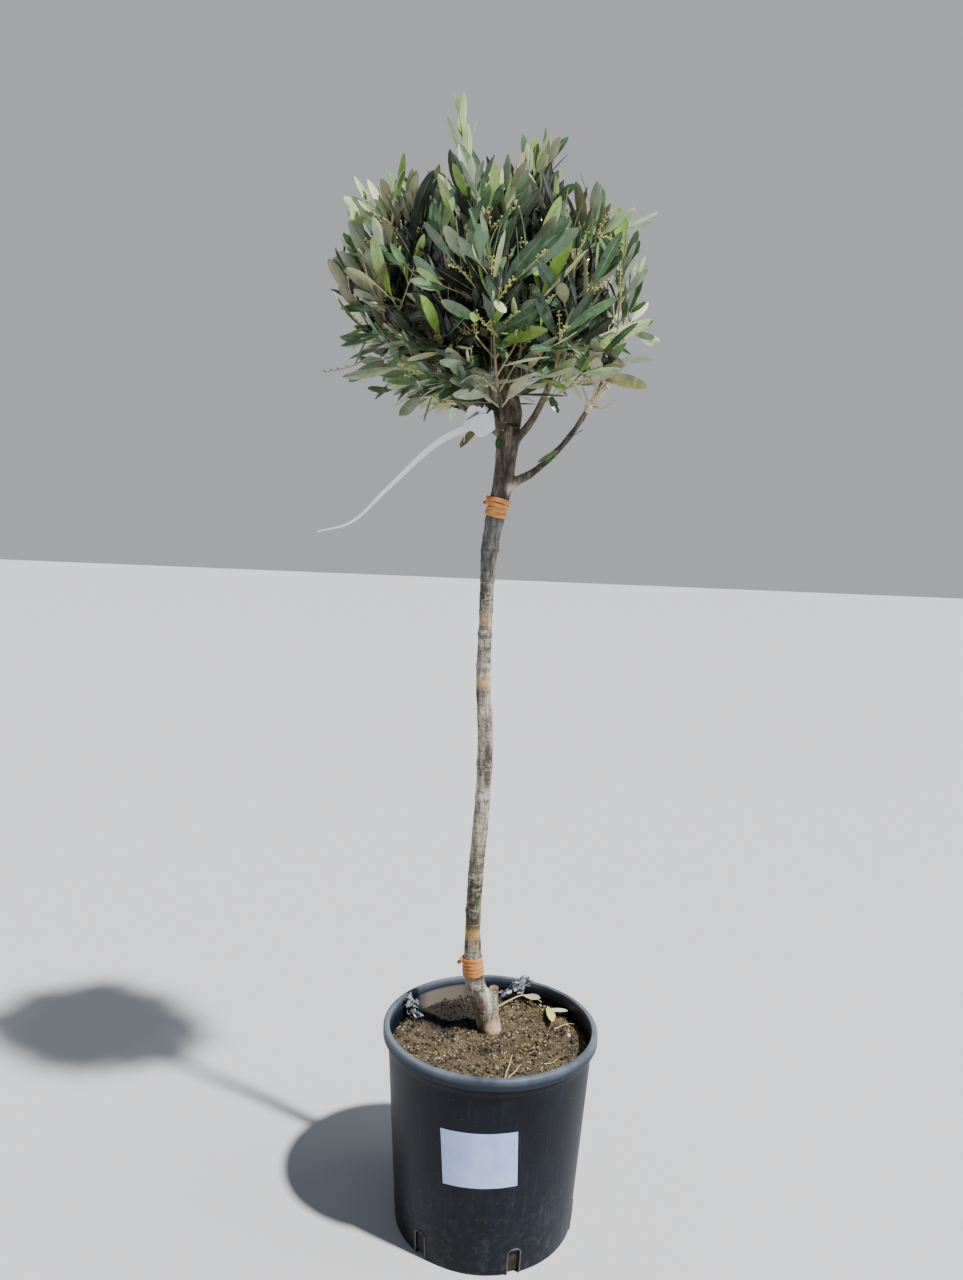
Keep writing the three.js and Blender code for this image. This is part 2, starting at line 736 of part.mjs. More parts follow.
function tagStrap() {
  const shape = new THREE.CylinderGeometry(1, 1, 1, 4, 12);
  const place = shape.attributes.position;
  const spot = point(0, 0, 0);
  for (let i = 0; i < place.count; i += 1) {
    spot.fromBufferAttribute(place, i).applyAxisAngle(point(0, 1, 0), Math.PI / 4);
    const share = THREE.MathUtils.clamp(spot.y + 0.5, 0, 1);
    const heading = strap.curve.getTangentAt(share);
    const flat = point(0, -1, 0).applyAxisAngle(heading, radians(70) * share);
    const wide = flat.clone().cross(heading).normalize();
    const along = strap.curve.getPointAt(share);
    along.addScaledVector(wide, (-spot.x * lerp(TAG.strapWidth, TAG.strapTip, share)) / Math.SQRT2);
    along.addScaledVector(flat, (spot.z * TAG.thickness) / Math.SQRT2);
    place.setXYZ(i, along.x, along.y, along.z);
  }
  return solidFrom(shape);
}

// The finished group

const finishes = {
  pot: { color: 0x1f2226, roughness: 0.5, metalness: 0 },
  soil: { color: 0x4a3b2b, roughness: 0.95, metalness: 0 },
  bark: { color: 0x857b68, roughness: 0.85, metalness: 0 },
  leaf: { color: 0x55664a, roughness: 0.5, metalness: 0 },
  tie: { color: 0xc98744, roughness: 0.6, metalness: 0 },
  label: { color: 0xe4e7ee, roughness: 0.5, metalness: 0 },
};

const tree = new THREE.Group();

function addPiece(name, geometry, finish) {
  const piece = new THREE.Mesh(geometry, new THREE.MeshStandardMaterial(finishes[finish]));
  piece.name = name;
  tree.add(piece);
}

addPiece("pot", potGeometry(), "pot");
addPiece("soil", soilGeometry(), "soil");
addPiece("trunk", trunkGeometry(), "bark");
boughGeometries().forEach((bough, i) => addPiece(`bough_${LIMBS[i].name}`, bough, "bark"));
LIMBS.forEach((limb, i) => addPiece(`foliage_${limb.name}`, massGeometry(limb, i), "leaf"));
TIES.forEach((tie) => addPiece(tie.name, tieGeometry(tie), "tie"));
addPiece("pot_label", labelGeometry(), "label");
addPiece("plant_tag", tagGeometry(), "label");

export default tree;
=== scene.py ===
# A small standard olive tree in a round nursery pot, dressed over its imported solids.
# The trunk, boughs, stems and twigs follow the solids' own growth rule and named sizes, and go
# on to finer twigs and to leaves near life size. Sizes are in millimetres, with +Z up and the
# origin at the centre of the pot's underside; mesh_piece turns them into metres. Colours are
# sRGB, from 0 to 255.
import json
import math

import bmesh
import bpy
import numpy as np
from mathutils import Matrix, Quaternion, Vector, noise

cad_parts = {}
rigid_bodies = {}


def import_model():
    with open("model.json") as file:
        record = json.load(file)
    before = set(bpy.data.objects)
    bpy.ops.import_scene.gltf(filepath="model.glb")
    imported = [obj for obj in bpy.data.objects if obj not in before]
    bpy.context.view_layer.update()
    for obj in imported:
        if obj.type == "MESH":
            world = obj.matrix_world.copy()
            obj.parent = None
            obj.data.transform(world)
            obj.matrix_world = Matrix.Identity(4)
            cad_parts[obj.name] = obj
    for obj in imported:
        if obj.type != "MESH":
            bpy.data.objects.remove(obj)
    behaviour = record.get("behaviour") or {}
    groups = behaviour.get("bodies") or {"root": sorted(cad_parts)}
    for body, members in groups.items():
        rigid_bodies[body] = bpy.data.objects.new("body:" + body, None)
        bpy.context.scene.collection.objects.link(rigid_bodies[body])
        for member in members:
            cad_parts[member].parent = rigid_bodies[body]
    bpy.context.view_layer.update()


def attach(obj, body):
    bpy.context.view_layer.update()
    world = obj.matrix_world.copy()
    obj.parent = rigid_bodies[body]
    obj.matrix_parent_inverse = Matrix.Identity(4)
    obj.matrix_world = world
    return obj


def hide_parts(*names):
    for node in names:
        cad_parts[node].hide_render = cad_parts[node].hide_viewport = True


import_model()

MM = 0.001
GAP = 0.3
UP = Vector((0, 0, 1))

# The camera, as fitted to the pot's lip and foot in the photograph
CAMERA = {"place": (0, -989.3, 728.8), "pitch": 5.073, "yaw": -1.554, "roll": 2.307, "lens": 26.3}

# Pot and soil
POT = {
    "height": 220,
    "lip_radius": 117.5,
    "lip_height": 12,
    "shoulder_radius": 112,
    "foot_radius": 98,
    "wall": 2,
    "floor": 3,
    "sides": 192,
}
SLOTS = {"count": 6, "first": -70, "width": 12, "height": 27}
SOIL = {"level": 198, "lump": 2.4, "level_radius": 27, "hollow": (-52, 52), "hollow_radius": 20}
SOIL |= {"hollow_depth": 13, "clear": 15}

# Trunk: height, where its centre line passes, and its radius
TRUNK = [
    (186, 2, 26, 12.6),
    (200, -1, 26, 13.4),
    (215, -5, 26, 13.4),
    (232, -12, 25, 12.2),
    (250, -19, 25, 10.9),
    (272, -22.5, 23, 10.2),
    (313, -24, 21, 8.7),
    (373, -23.5, 18, 8.5),
    (464, -19, 14, 8.4),
    (530, -18.5, 12, 8.6),
    (597, -23.5, 10, 7.9),
    (652, -23.5, 8, 7),
    (703, -23.5, 7, 7.6),
    (742, -22, 5, 8.9),
    (775, -17, 4, 9.8),
    (800, -12, 3, 10.4),
    (830, -9, 2, 10.9),
    (858, -7, 1, 11.8),
    (880, -5, 0, 11),
    (892, -4, 0, 7.5),
]

# Crown and its shoots; an azimuth runs from +X towards +Y, in degrees
CROWN_CENTRE = Vector((-36, 0, 1010))
CROWN_HALF = (162, 143, 123)
CROWN_SQUARENESS = 2.05
SHOOTS = {
    "spire": {"azimuth": 190, "elevation": 78, "further": 0.58, "width": 6.5},
    "tuft": {"azimuth": 352, "elevation": 65, "further": 0.27, "width": 10},
    "left_shoulder": {"azimuth": 182, "elevation": 31, "further": 0.03, "width": 16},
    "right_shoulder": {"azimuth": 352, "elevation": 22, "further": 0.04, "width": 16},
    "low_right_reach": {"azimuth": 352, "elevation": -24, "further": 0.24, "width": 15},
    "low_left_reach": {"azimuth": 185, "elevation": -36, "further": 0.18, "width": 13},
    "back_shoulder": {"azimuth": 80, "elevation": 52, "further": 0.08, "width": 15},
}

# Limbs: name, parent, share of the parent's length, azimuth, elevation, radius and bow, then
# how far out the heart of the limb's mass lies, and the shoot that its stem follows
LIMB_KEYS = ("name", "parent", "at", "azimuth", "elevation", "radius", "bow", "out", "shoot")
LIMB_ROWS = [
    ("top_right", "trunk", 0.985, 332, 58, 6.6, 0.13, 0.46, "tuft"),
    ("top_left", "trunk", 0.99, 212, 58, 6, 0.1, 0.46, "spire"),
    ("top_back", "top_left", 0.3, 92, 52, 4.6, 0.06, 0.5, None),
    ("right", "trunk", 0.93, 334, 4, 4.8, 0.26, 0.62, None),
    ("back_right", "top_right", 0.24, 32, 8, 4.4, 0.1, 0.62, None),
    ("back", "top_back", 0.2, 90, 2, 3.8, 0.04, 0.62, None),
    ("back_left", "trunk", 0.972, 150, 8, 5, 0.2, 0.62, None),
    ("left", "trunk", 0.955, 208, 8, 4.8, 0.2, 0.62, None),
    ("front", "top_left", 0.2, 270, 6, 4.2, 0.06, 0.62, None),
    ("low_right", "trunk", 0.872, 352, -30, 4.4, 0.22, 0.84, None),
    ("low_left", "trunk", 0.945, 190, -36, 3.8, 0.12, 0.62, None),
    ("low_front", "trunk", 0.935, 276, -34, 3.6, 0.12, 0.62, None),
    ("low_back", "trunk", 0.915, 92, -36, 4, 0.12, 0.62, None),
]
LIMBS = [dict(zip(LIMB_KEYS, row)) for row in LIMB_ROWS]
LIMB_TIP = 0.5
LIMB_TAPER = 0.8
LEAST_LIMB = 0.5
BOUGH_MARGIN = 6
STEM = {"tip": 1.2, "spacing": 17, "first": 8, "raised": 12, "room": 34, "pull": 0.35}
TWIG = {"radius": 1.15, "tip": 0.6, "length": 78, "least": 12, "room": 30, "spread": 42, "rise": 0.22}
LEAF = {"length": 59, "width": 13, "spacing": 9, "spread": 40, "rise": 0.34}
LEAF_SHARES = (1, 0.87, 0.75)
TIP_SHARES = (1, 0.87, 0.75, 0.63, 0.5)
SEED = 21

# What the solids have no room for: side shoots on the boughs, finer twigs on the twigs, how far
# short of the crown's outline a shoot can end, and the leaves along the end of the tall shoots.
# Below the low height a side shoot may reach further out, and short twigs have no finer ones.
SIDE = {"shares": (0.28, 0.4, 0.52, 0.64, 0.76, 0.88), "spread": 52, "rise": 0.12, "length": 66}
SIDE |= {"room": 24, "least": 16, "low": 950, "slack": 26}
SPRIG = {"radius": 0.7, "tip": 0.45, "length": 46, "least": 14, "room": 20, "spread": 48}
SPRIG |= {"least_twig": 26, "share": 0.3, "spacing": 11, "scale": 0.72}
RAGGED = 24
TALL_SHOOT = {"length": 80, "spire": 21, "tuft": 11}

# Leaves stand more upright towards the crown's top and hang low down, sprays leave gaps near the
# outline, and leaves are left out more often low down, where sky shows
UPRIGHT = {"heights": (930, 1020), "rises": (0.0, 0.55)}
DROOP = {"from": 800, "to": 970, "most": 0.7}
OPEN = {"size": 27, "heights": (930, 1020), "below": (0.05, -0.03), "from": 0.38, "share": 0.86}
LEFT_OUT = {"heights": (890, 930, 990), "shares": (0.34, 0.3, 0.12)}


# Numbers in a fixed order from a seed, the same as in the solids.
def seeded(seed):
    state = [seed & 0xFFFFFFFF]

    def draw(low=0.0, high=1.0):
        state[0] = (state[0] * 1664525 + 1013904223) & 0xFFFFFFFF
        return low + (high - low) * state[0] / 4294967296

    return draw


def lerp(low, high, share):
    return low + (high - low) * share


def clamp(value):
    return min(max(value, 0.0), 1.0)


def direction(azimuth, elevation):
    flat = math.cos(math.radians(elevation))
    angle = math.radians(azimuth)
    return Vector((flat * math.cos(angle), flat * math.sin(angle), math.sin(math.radians(elevation))))


# A smooth line, measured by shares of its length.
class Curve:
    STEPS = 200

    def __init__(self, at):
        self.at = at
        marks = [at(i / self.STEPS) for i in range(self.STEPS + 1)]
        runs = [(b - a).length for a, b in zip(marks, marks[1:])]
        self.lengths = np.concatenate([[0], np.cumsum(runs)])
        self.length = float(self.lengths[-1])

    def mapped(self, share):
        return float(np.interp(share * self.length, self.lengths, np.linspace(0, 1, self.STEPS + 1)))

    def point(self, share):
        return self.at(self.mapped(share))

    def tangent(self, share):
        spot = self.mapped(share)
        low, high = max(spot - 0.0001, 0), min(spot + 0.0001, 1)
        return (self.at(high) - self.at(low)).normalized()


# A centripetal Catmull-Rom line through points.
def smooth_line(points):
    points = [Vector(p) for p in points]
    before = points[0] * 2 - points[1]
    after = points[-1] * 2 - points[-2]
    padded = [before, *points, after]

    def at(share):
        place = clamp(share) * (len(points) - 1)
        i = min(int(place), len(points) - 2)
        t = place - i
        p0, p1, p2, p3 = padded[i : i + 4]
        d0, d1, d2 = ((b - a).length ** 0.5 for a, b in ((p0, p1), (p1, p2), (p2, p3)))
        start = ((p1 - p0) / d0 - (p2 - p0) / (d0 + d1) + (p2 - p1) / d1) * d1
        end = ((p2 - p1) / d1 - (p3 - p1) / (d1 + d2) + (p3 - p2) / d2) * d1
        c2 = p2 * 3 - p1 * 3 - start * 2 - end
        c3 = p1 * 2 - p2 * 2 + start + end
        return p1 + start * t + c2 * t**2 + c3 * t**3

    return Curve(at)


def bezier(*points):
    def at(share):
        row = [Vector(p) for p in points]
        while len(row) > 1:
            row = [a.lerp(b, share) for a, b in zip(row, row[1:])]
        return row[0]

    return Curve(at)


# Crown space

def crown_reach(towards):
    total = sum((abs(t) / half) ** CROWN_SQUARENESS for t, half in zip(towards, CROWN_HALF))
    reach = total ** (-1 / CROWN_SQUARENESS)
    for shoot in SHOOTS.values():
        apart = towards.angle(direction(shoot["azimuth"], shoot["elevation"]))
        off = apart / math.radians(shoot["width"])
        reach *= 1 + shoot["further"] * math.exp(-off * off)
    return reach


for limb in LIMBS:
    heading = direction(limb["azimuth"], limb["elevation"])
    limb["heart"] = CROWN_CENTRE + heading * limb["out"] * crown_reach(heading)


def in_crown(spot, margin=0.0):
    out = spot - CROWN_CENTRE
    return out.length < 1 or out.length < crown_reach(out.normalized()) - margin


# A mass's stem keeps to the points that lie nearer to its own heart than to any other.
def in_space(limb, spot, margin):
    if not in_crown(spot):
        return False
    for other in LIMBS:
        if other is limb:
            continue
        across = other["heart"] - limb["heart"]
        middle = (other["heart"] + limb["heart"]) / 2
        if (spot - middle).dot(across) / across.length >= -margin:
            return False
    return True


# Limbs

trunk_curve = smooth_line([(x, y, z) for z, x, y, radius in TRUNK])


def trunk_radius_at_height(z):
    return float(np.interp(z, [row[0] for row in TRUNK], [row[3] for row in TRUNK]))


routes = {
    "trunk": (trunk_curve, lambda share: trunk_radius_at_height(trunk_curve.point(clamp(share)).z))
}


def lay_out(limb):
    root = routes[limb["parent"]][0].point(limb["at"])
    span = limb["heart"] - root
    outward = Vector((span.x, span.y, 0)).normalized()
    bend = root + span * 0.5 - UP * limb["bow"] * span.length
    bend += outward * limb["bow"] * 0.5 * span.length
    whole = bezier(root, bend, limb["heart"])
    enters = LEAST_LIMB
    while enters < 0.9 and not in_space(limb, whole.point(enters), BOUGH_MARGIN):
        enters += 0.02
    stations = [whole.point(share * enters) for share in (0, 0.25, 0.5, 0.75, 1)]
    limb["heading"] = whole.tangent(enters)
    radius = limb["radius"]
    routes[limb["name"]] = (
        smooth_line(stations),
        lambda share: lerp(radius, radius * LIMB_TIP, clamp(share) ** LIMB_TAPER),
    )


for limb in LIMBS:
    lay_out(limb)


def room_points():
    spots, radii = [], []
    for curve, radius_at in routes.values():
        count = math.ceil(curve.length / 4)
        for i in range(count + 1):
            spots.append(curve.point(i / count))
            radii.append(radius_at(i / count) + GAP)
    return np.array(spots), np.array(radii)


limb_spots, limb_radii = room_points()


def clear_of_limbs(spot, room):
    return bool(np.all(np.linalg.norm(limb_spots - np.array(spot), axis=1) > limb_radii + room))


# Growth

def pair_directions(axis, turn, spread, rise):
    across = Vector((1, 0, 0)) if abs(axis.z) > 0.9 else UP
    sideways = axis.cross(across).normalized()
    pair = []
    for half in (0, math.pi):
        out = Quaternion(axis, turn + half) @ sideways
        pair.append((axis * math.cos(spread) + out * math.sin(spread) + UP * rise).normalized())
    return pair


# How far a twig can grow before it meets a limb or the crown's outline, less what it stays back.
def free_run(root, towards, most, back):
    run = 3
    while run <= most:
        spot = root + towards * run
        if not in_crown(spot, back) or (run > 6 and not clear_of_limbs(spot, 1.5)):
            return run - 3
        run += 3
    return most


# How far a shoot stays back from the crown's outline: a few reach it, and most end short of it.
def shortfall(number):
    return RAGGED * seeded(SEED + number * 49979)() ** 0.7


def stem_curve(limb):
    tip = routes[limb["name"]][0].point(1)
    heading = limb["heading"]
    root = tip + heading * (GAP + 0.2)
    raised = {"azimuth": limb["azimuth"], "elevation": limb["elevation"] + STEM["raised"]}
    shoot = SHOOTS.get(limb["shoot"], raised)
    outward = direction(shoot["azimuth"], shoot["elevation"])
    end = CROWN_CENTRE + outward * (crown_reach(outward) - STEM["room"])
    while not in_space(limb, end, 4):
        end = end.lerp(limb["heart"], 0.1)
    pull = (root - end).length * STEM["pull"]
    return bezier(root, root + heading * pull, end - outward * pull, end)


def grow_twigs(number, stem):
    random = seeded(SEED + number * 7919)
    twigs = []

    def grow(root, towards):
        wanted = TWIG["length"] * random(0.8, 1.15)
        back = shortfall(number * 100 + len(twigs)) if along < stem.length - 20 else 0
        run = free_run(root, towards, wanted + TWIG["room"], back) - TWIG["room"]
        length = 0 if run < TWIG["least"] else run
        twigs.append({"root": root, "towards": towards, "length": length, "short": back})

    turn = random(0, math.pi)
    along = STEM["first"]
    while along < stem.length - 4:
        root = stem.point(along / stem.length)
        axis = stem.tangent(along / stem.length)
        spread = math.radians(TWIG["spread"] * random(0.85, 1.25))
        for towards in pair_directions(axis, turn, spread, TWIG["rise"]):
            grow(root, towards)
        turn += math.pi / 2 + random(-0.3, 0.3)
        along += STEM["spacing"]
    grow(stem.point(0.99), stem.tangent(1))
    return twigs


# Where leaves sit on a twig: one at its tip, and pairs that each turn a quarter.
def leaf_places(twig, number, spacing=LEAF["spacing"], scale=1.0):
    random = seeded(SEED + number * 104729)
    root, towards, length = twig["root"], twig["towards"], twig["length"]
    end = root + towards * max(length - 1.5, 0)
    lean = (towards + UP * random(0.05, 0.25)).normalized()
    turn = random(0, math.pi)
    facing = pair_directions(lean, turn, math.pi / 2, 0)[0]
    first = LEAF["length"] * random(0.8, 1.05) * scale
    places = [{"root": end, "towards": lean, "blade": facing, "size": first, "back": 0}]
    back = 2
    while back < length - 6:
        spot = end - towards * back
        spread = math.radians(LEAF["spread"] * random(0.8, 1.3))
        rise = LEAF["rise"] + float(np.interp(spot.z, UPRIGHT["heights"], UPRIGHT["rises"]))
        for side in pair_directions(towards, turn, spread, rise):
            size = LEAF["length"] * random(0.75, 1.1) * scale
            places.append({"root": spot, "towards": side, "blade": towards, "size": size, "back": back})
        turn += math.pi / 2
        back += spacing
    return places


def leaf_fits(place, size, back):
    side = place["towards"].cross(place["blade"]).normalized() * LEAF["width"] / 2
    widest = place["root"] + place["towards"] * size * 0.45
    tip = place["root"] + place["towards"] * size
    if not all(in_crown(spot, back) for spot in (tip, widest + side, widest - side)):
        return False
    shares = (0.3, 0.6, 1)
    return all(clear_of_limbs(place["root"] + place["towards"] * size * s, 5) for s in shares)


# The swollen joint of the low right bough, and the space in front of it that leaves keep clear of
KNOT_AT = 0.8
KNOT = routes["low_right"][0].point(KNOT_AT)
KNOT_VIEW = KNOT + Vector((8, -10, 9))
KNOT_CLEAR = 24


# Whether a place lies in one of the gaps between the sprays in the outer part of the crown.
def in_gap(spot):
    out = spot - CROWN_CENTRE
    outer = out.length > OPEN["from"] * crown_reach(out.normalized())
    below = np.interp(spot.z, OPEN["heights"], OPEN["below"])
    return outer and noise.noise(spot / OPEN["size"]) < below


# The places that a leaf fits, fewer of them in the gaps, low in the crown and at the knot.
def fitted(twig, places, tint, random):
    kept = []
    for place in places:
        if random() < np.interp(place["root"].z, LEFT_OUT["heights"], LEFT_OUT["shares"]):
            continue
        middle = place["root"] + place["towards"] * place["size"] * 0.5
        if twig["short"] > 0 and in_gap(middle) and random() < OPEN["share"]:
            continue
        if (middle - KNOT_VIEW).length < KNOT_CLEAR:
            continue
        for share in LEAF_SHARES if twig["short"] else TIP_SHARES:
            if leaf_fits(place, place["size"] * share, twig["short"] * 0.6):
                kept.append({**place, "size": place["size"] * share, "tint": tint})
                break
    return kept


# Side shoots that the outer part of each bough carries on its way to its mass.
def grow_side_twigs(limb, number):
    random = seeded(SEED + number * 27644437)
    curve = routes[limb["name"]][0]
    twigs = []
    turn = random(0, math.pi)
    for share in SIDE["shares"]:
        root = curve.point(share)
        spread = math.radians(SIDE["spread"] * random(0.8, 1.2))
        slack = SIDE["slack"] if root.z < SIDE["low"] else 0
        for towards in pair_directions(curve.tangent(share), turn, spread, SIDE["rise"]):
            wanted = SIDE["length"] * random(0.5, 1.15)
            back = shortfall(number * 100 + 50 + len(twigs)) - slack
            run = free_run(root, towards, wanted + SIDE["room"], back) - SIDE["room"]
            if run > SIDE["least"]:
                twigs.append({"root": root, "towards": towards, "length": run, "short": back})
        turn += math.pi / 2 + random(-0.4, 0.4)
    return twigs


# The upright leaves of a tall shoot, set along the end of its stem.
def shoot_leaf_places(number, stem, spacing):
    random = seeded(SEED + number * 86028121)
    places = []
    turn = random(0, math.pi)
    back = 2
    while back < TALL_SHOOT["length"]:
        share = 1 - back / stem.length
        for towards in pair_directions(stem.tangent(share), turn, math.radians(random(9, 26)), 0.1):
            size = LEAF["length"] * random(0.75, 1.0)
            place = {"root": stem.point(share), "towards": towards, "blade": stem.tangent(share)}
            places.append({**place, "size": size, "back": back})
        turn += math.pi / 2 + random(-0.3, 0.3)
        back += spacing
    return places


# Finer twigs: pairs of short side shoots on each long twig.
def grow_sprigs(number, twig):
    random = seeded(SEED + number * 15485863)
    sprigs = []
    if twig["length"] < SPRIG["least_twig"]:
        return sprigs
    turn = random(0, math.pi)
    along = random(8, 16)
    while along < twig["length"] - 10:
        root = twig["root"] + twig["towards"] * along
        spread = math.radians(SPRIG["spread"] * random(0.8, 1.2))
        for towards in pair_directions(twig["towards"], turn, spread, TWIG["rise"]):
            wanted = SPRIG["length"] * random(0.5, 1.1)
            run = free_run(root, towards, wanted + SPRIG["room"], twig["short"]) - SPRIG["room"]
            if run > SPRIG["least"] and random() < SPRIG["share"]:
                sprigs.append({**twig, "root": root, "towards": towards, "length": run})
        turn += math.pi / 2
        along += random(18, 28)
    return sprigs


# Meshes

def link_object(name, data):
    thing = bpy.data.objects.new(name, data)
    bpy.context.scene.collection.objects.link(thing)
    return thing


def mesh_piece(name, verts, faces, materials, slots=None, smooth=True):
    mesh = bpy.data.meshes.new(name)
    mesh.from_pydata((np.asarray(verts) * MM).tolist(), [], faces)
    for material in materials:
        mesh.materials.append(material)
    if slots is not None:
        mesh.polygons.foreach_set("material_index", np.asarray(slots, dtype=np.int32))
    if smooth:
        mesh.polygons.foreach_set("use_smooth", np.ones(len(mesh.polygons), dtype=bool))
        mesh.set_sharp_from_angle(angle=math.radians(50))
    mesh.update()
    return link_object(name, mesh)


# The mesh that a rough piece has with its modifiers, which takes that piece's place.
def applied(rough, material):
    graph = bpy.context.evaluated_depsgraph_get()
    mesh = bpy.data.meshes.new_from_object(rough.evaluated_get(graph))
    bpy.data.objects.remove(rough)
    mesh.materials.clear()
    mesh.materials.append(material)
    return mesh


def finish_piece(piece, slot, *nodes):
    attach(piece, "root")
    if nodes:
        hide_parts(*nodes)


# Gathers many small shapes into one mesh.
class Gather:
    def __init__(self):
        self.verts = []
        self.faces = []
        self.slots = []

    def add(self, verts, faces, slots=None):
        base = len(self.verts)
        self.verts.extend(verts)
        self.faces.extend([base + i for i in face] for face in faces)
        self.slots.extend(slots or [0] * len(faces))

    def piece(self, name, materials, smooth=True):
        return mesh_piece(name, self.verts, self.faces, materials, self.slots, smooth)


def polar(radius, angle, z):
    return (radius * math.cos(angle), radius * math.sin(angle), z)


def circle(radius, z, sides):
    return [polar(radius, 2 * math.pi * k / sides, z) for k in range(sides)]


# The faces between rings of points, each with as many sides, and those that close the ends.
def ring_faces(rings, sides, closed=True):
    faces = []
    for a in range(0, (rings - 1) * sides, sides):
        for k in range(sides):
            n = (k + 1) % sides
            faces.append([a + k, a + n, a + sides + n, a + sides + k])
    if closed:
        faces.append(list(range(sides))[::-1])
        faces.append([(rings - 1) * sides + k for k in range(sides)])
    return faces


def headings(points):
    last = len(points) - 1
    return [(points[min(i + 1, last)] - points[max(i - 1, 0)]).normalized() for i in range(last + 1)]


# Directions square to an axis, with their angles, from one full turn to the next.
def turns_round(axis, count):
    across = axis.orthogonal().normalized()
    other = axis.cross(across)
    angles = [2 * math.pi * i / count for i in range(count + 1)]
    return [(angle, across * math.cos(angle) + other * math.sin(angle)) for angle in angles]


# A round tube through points, with a radius at each, closed at both ends.
def tube(points, radii, sides):
    points = [Vector(p) for p in points]
    verts = []
    across = headings(points)[0].orthogonal().normalized()
    for spot, ahead, radius in zip(points, headings(points), radii):
        across = (across - ahead * across.dot(ahead)).normalized()
        other = ahead.cross(across)
        for k in range(sides):
            angle = 2 * math.pi * k / sides
            verts.append(spot + (across * math.cos(angle) + other * math.sin(angle)) * radius)
    return verts, ring_faces(len(points), sides)


# The section of a flat strip, and of a tape drawn tight, each across and out
FLAT = [(-1, -1), (1, -1), (1, 1), (-1, 1)]
ROUNDED = [[math.copysign(abs(v) ** 0.6, v) for v in spot[:2]] for spot in circle(1, 0, 10)]


# A strip through points, with its width and the way that it faces at each.
def strip(points, widths, facings, thickness, section=FLAT):
    verts = []
    for spot, ahead, width, facing in zip(points, headings(points), widths, facings):
        facing = (facing - ahead * facing.dot(ahead)).normalized()
        side = ahead.cross(facing) * width / 2
        verts += [spot + side * x + facing * y * thickness / 2 for x, y in section]
    return verts, ring_faces(len(points), len(section))


def ball(centre, radius, squash=1.0):
    bm = bmesh.new()
    bmesh.ops.create_icosphere(bm, subdivisions=1, radius=radius)
    verts = [Vector((v.co.x, v.co.y, v.co.z * squash)) + centre for v in bm.verts]
    faces = [[v.index for v in face.verts] for face in bm.faces]
    bm.free()
    return verts, faces


# Materials

def linear(red, green, blue):
    def one(value):
        value /= 255
        return value / 12.92 if value <= 0.04045 else ((value + 0.055) / 1.055) ** 2.4

    return (one(red), one(green), one(blue), 1)


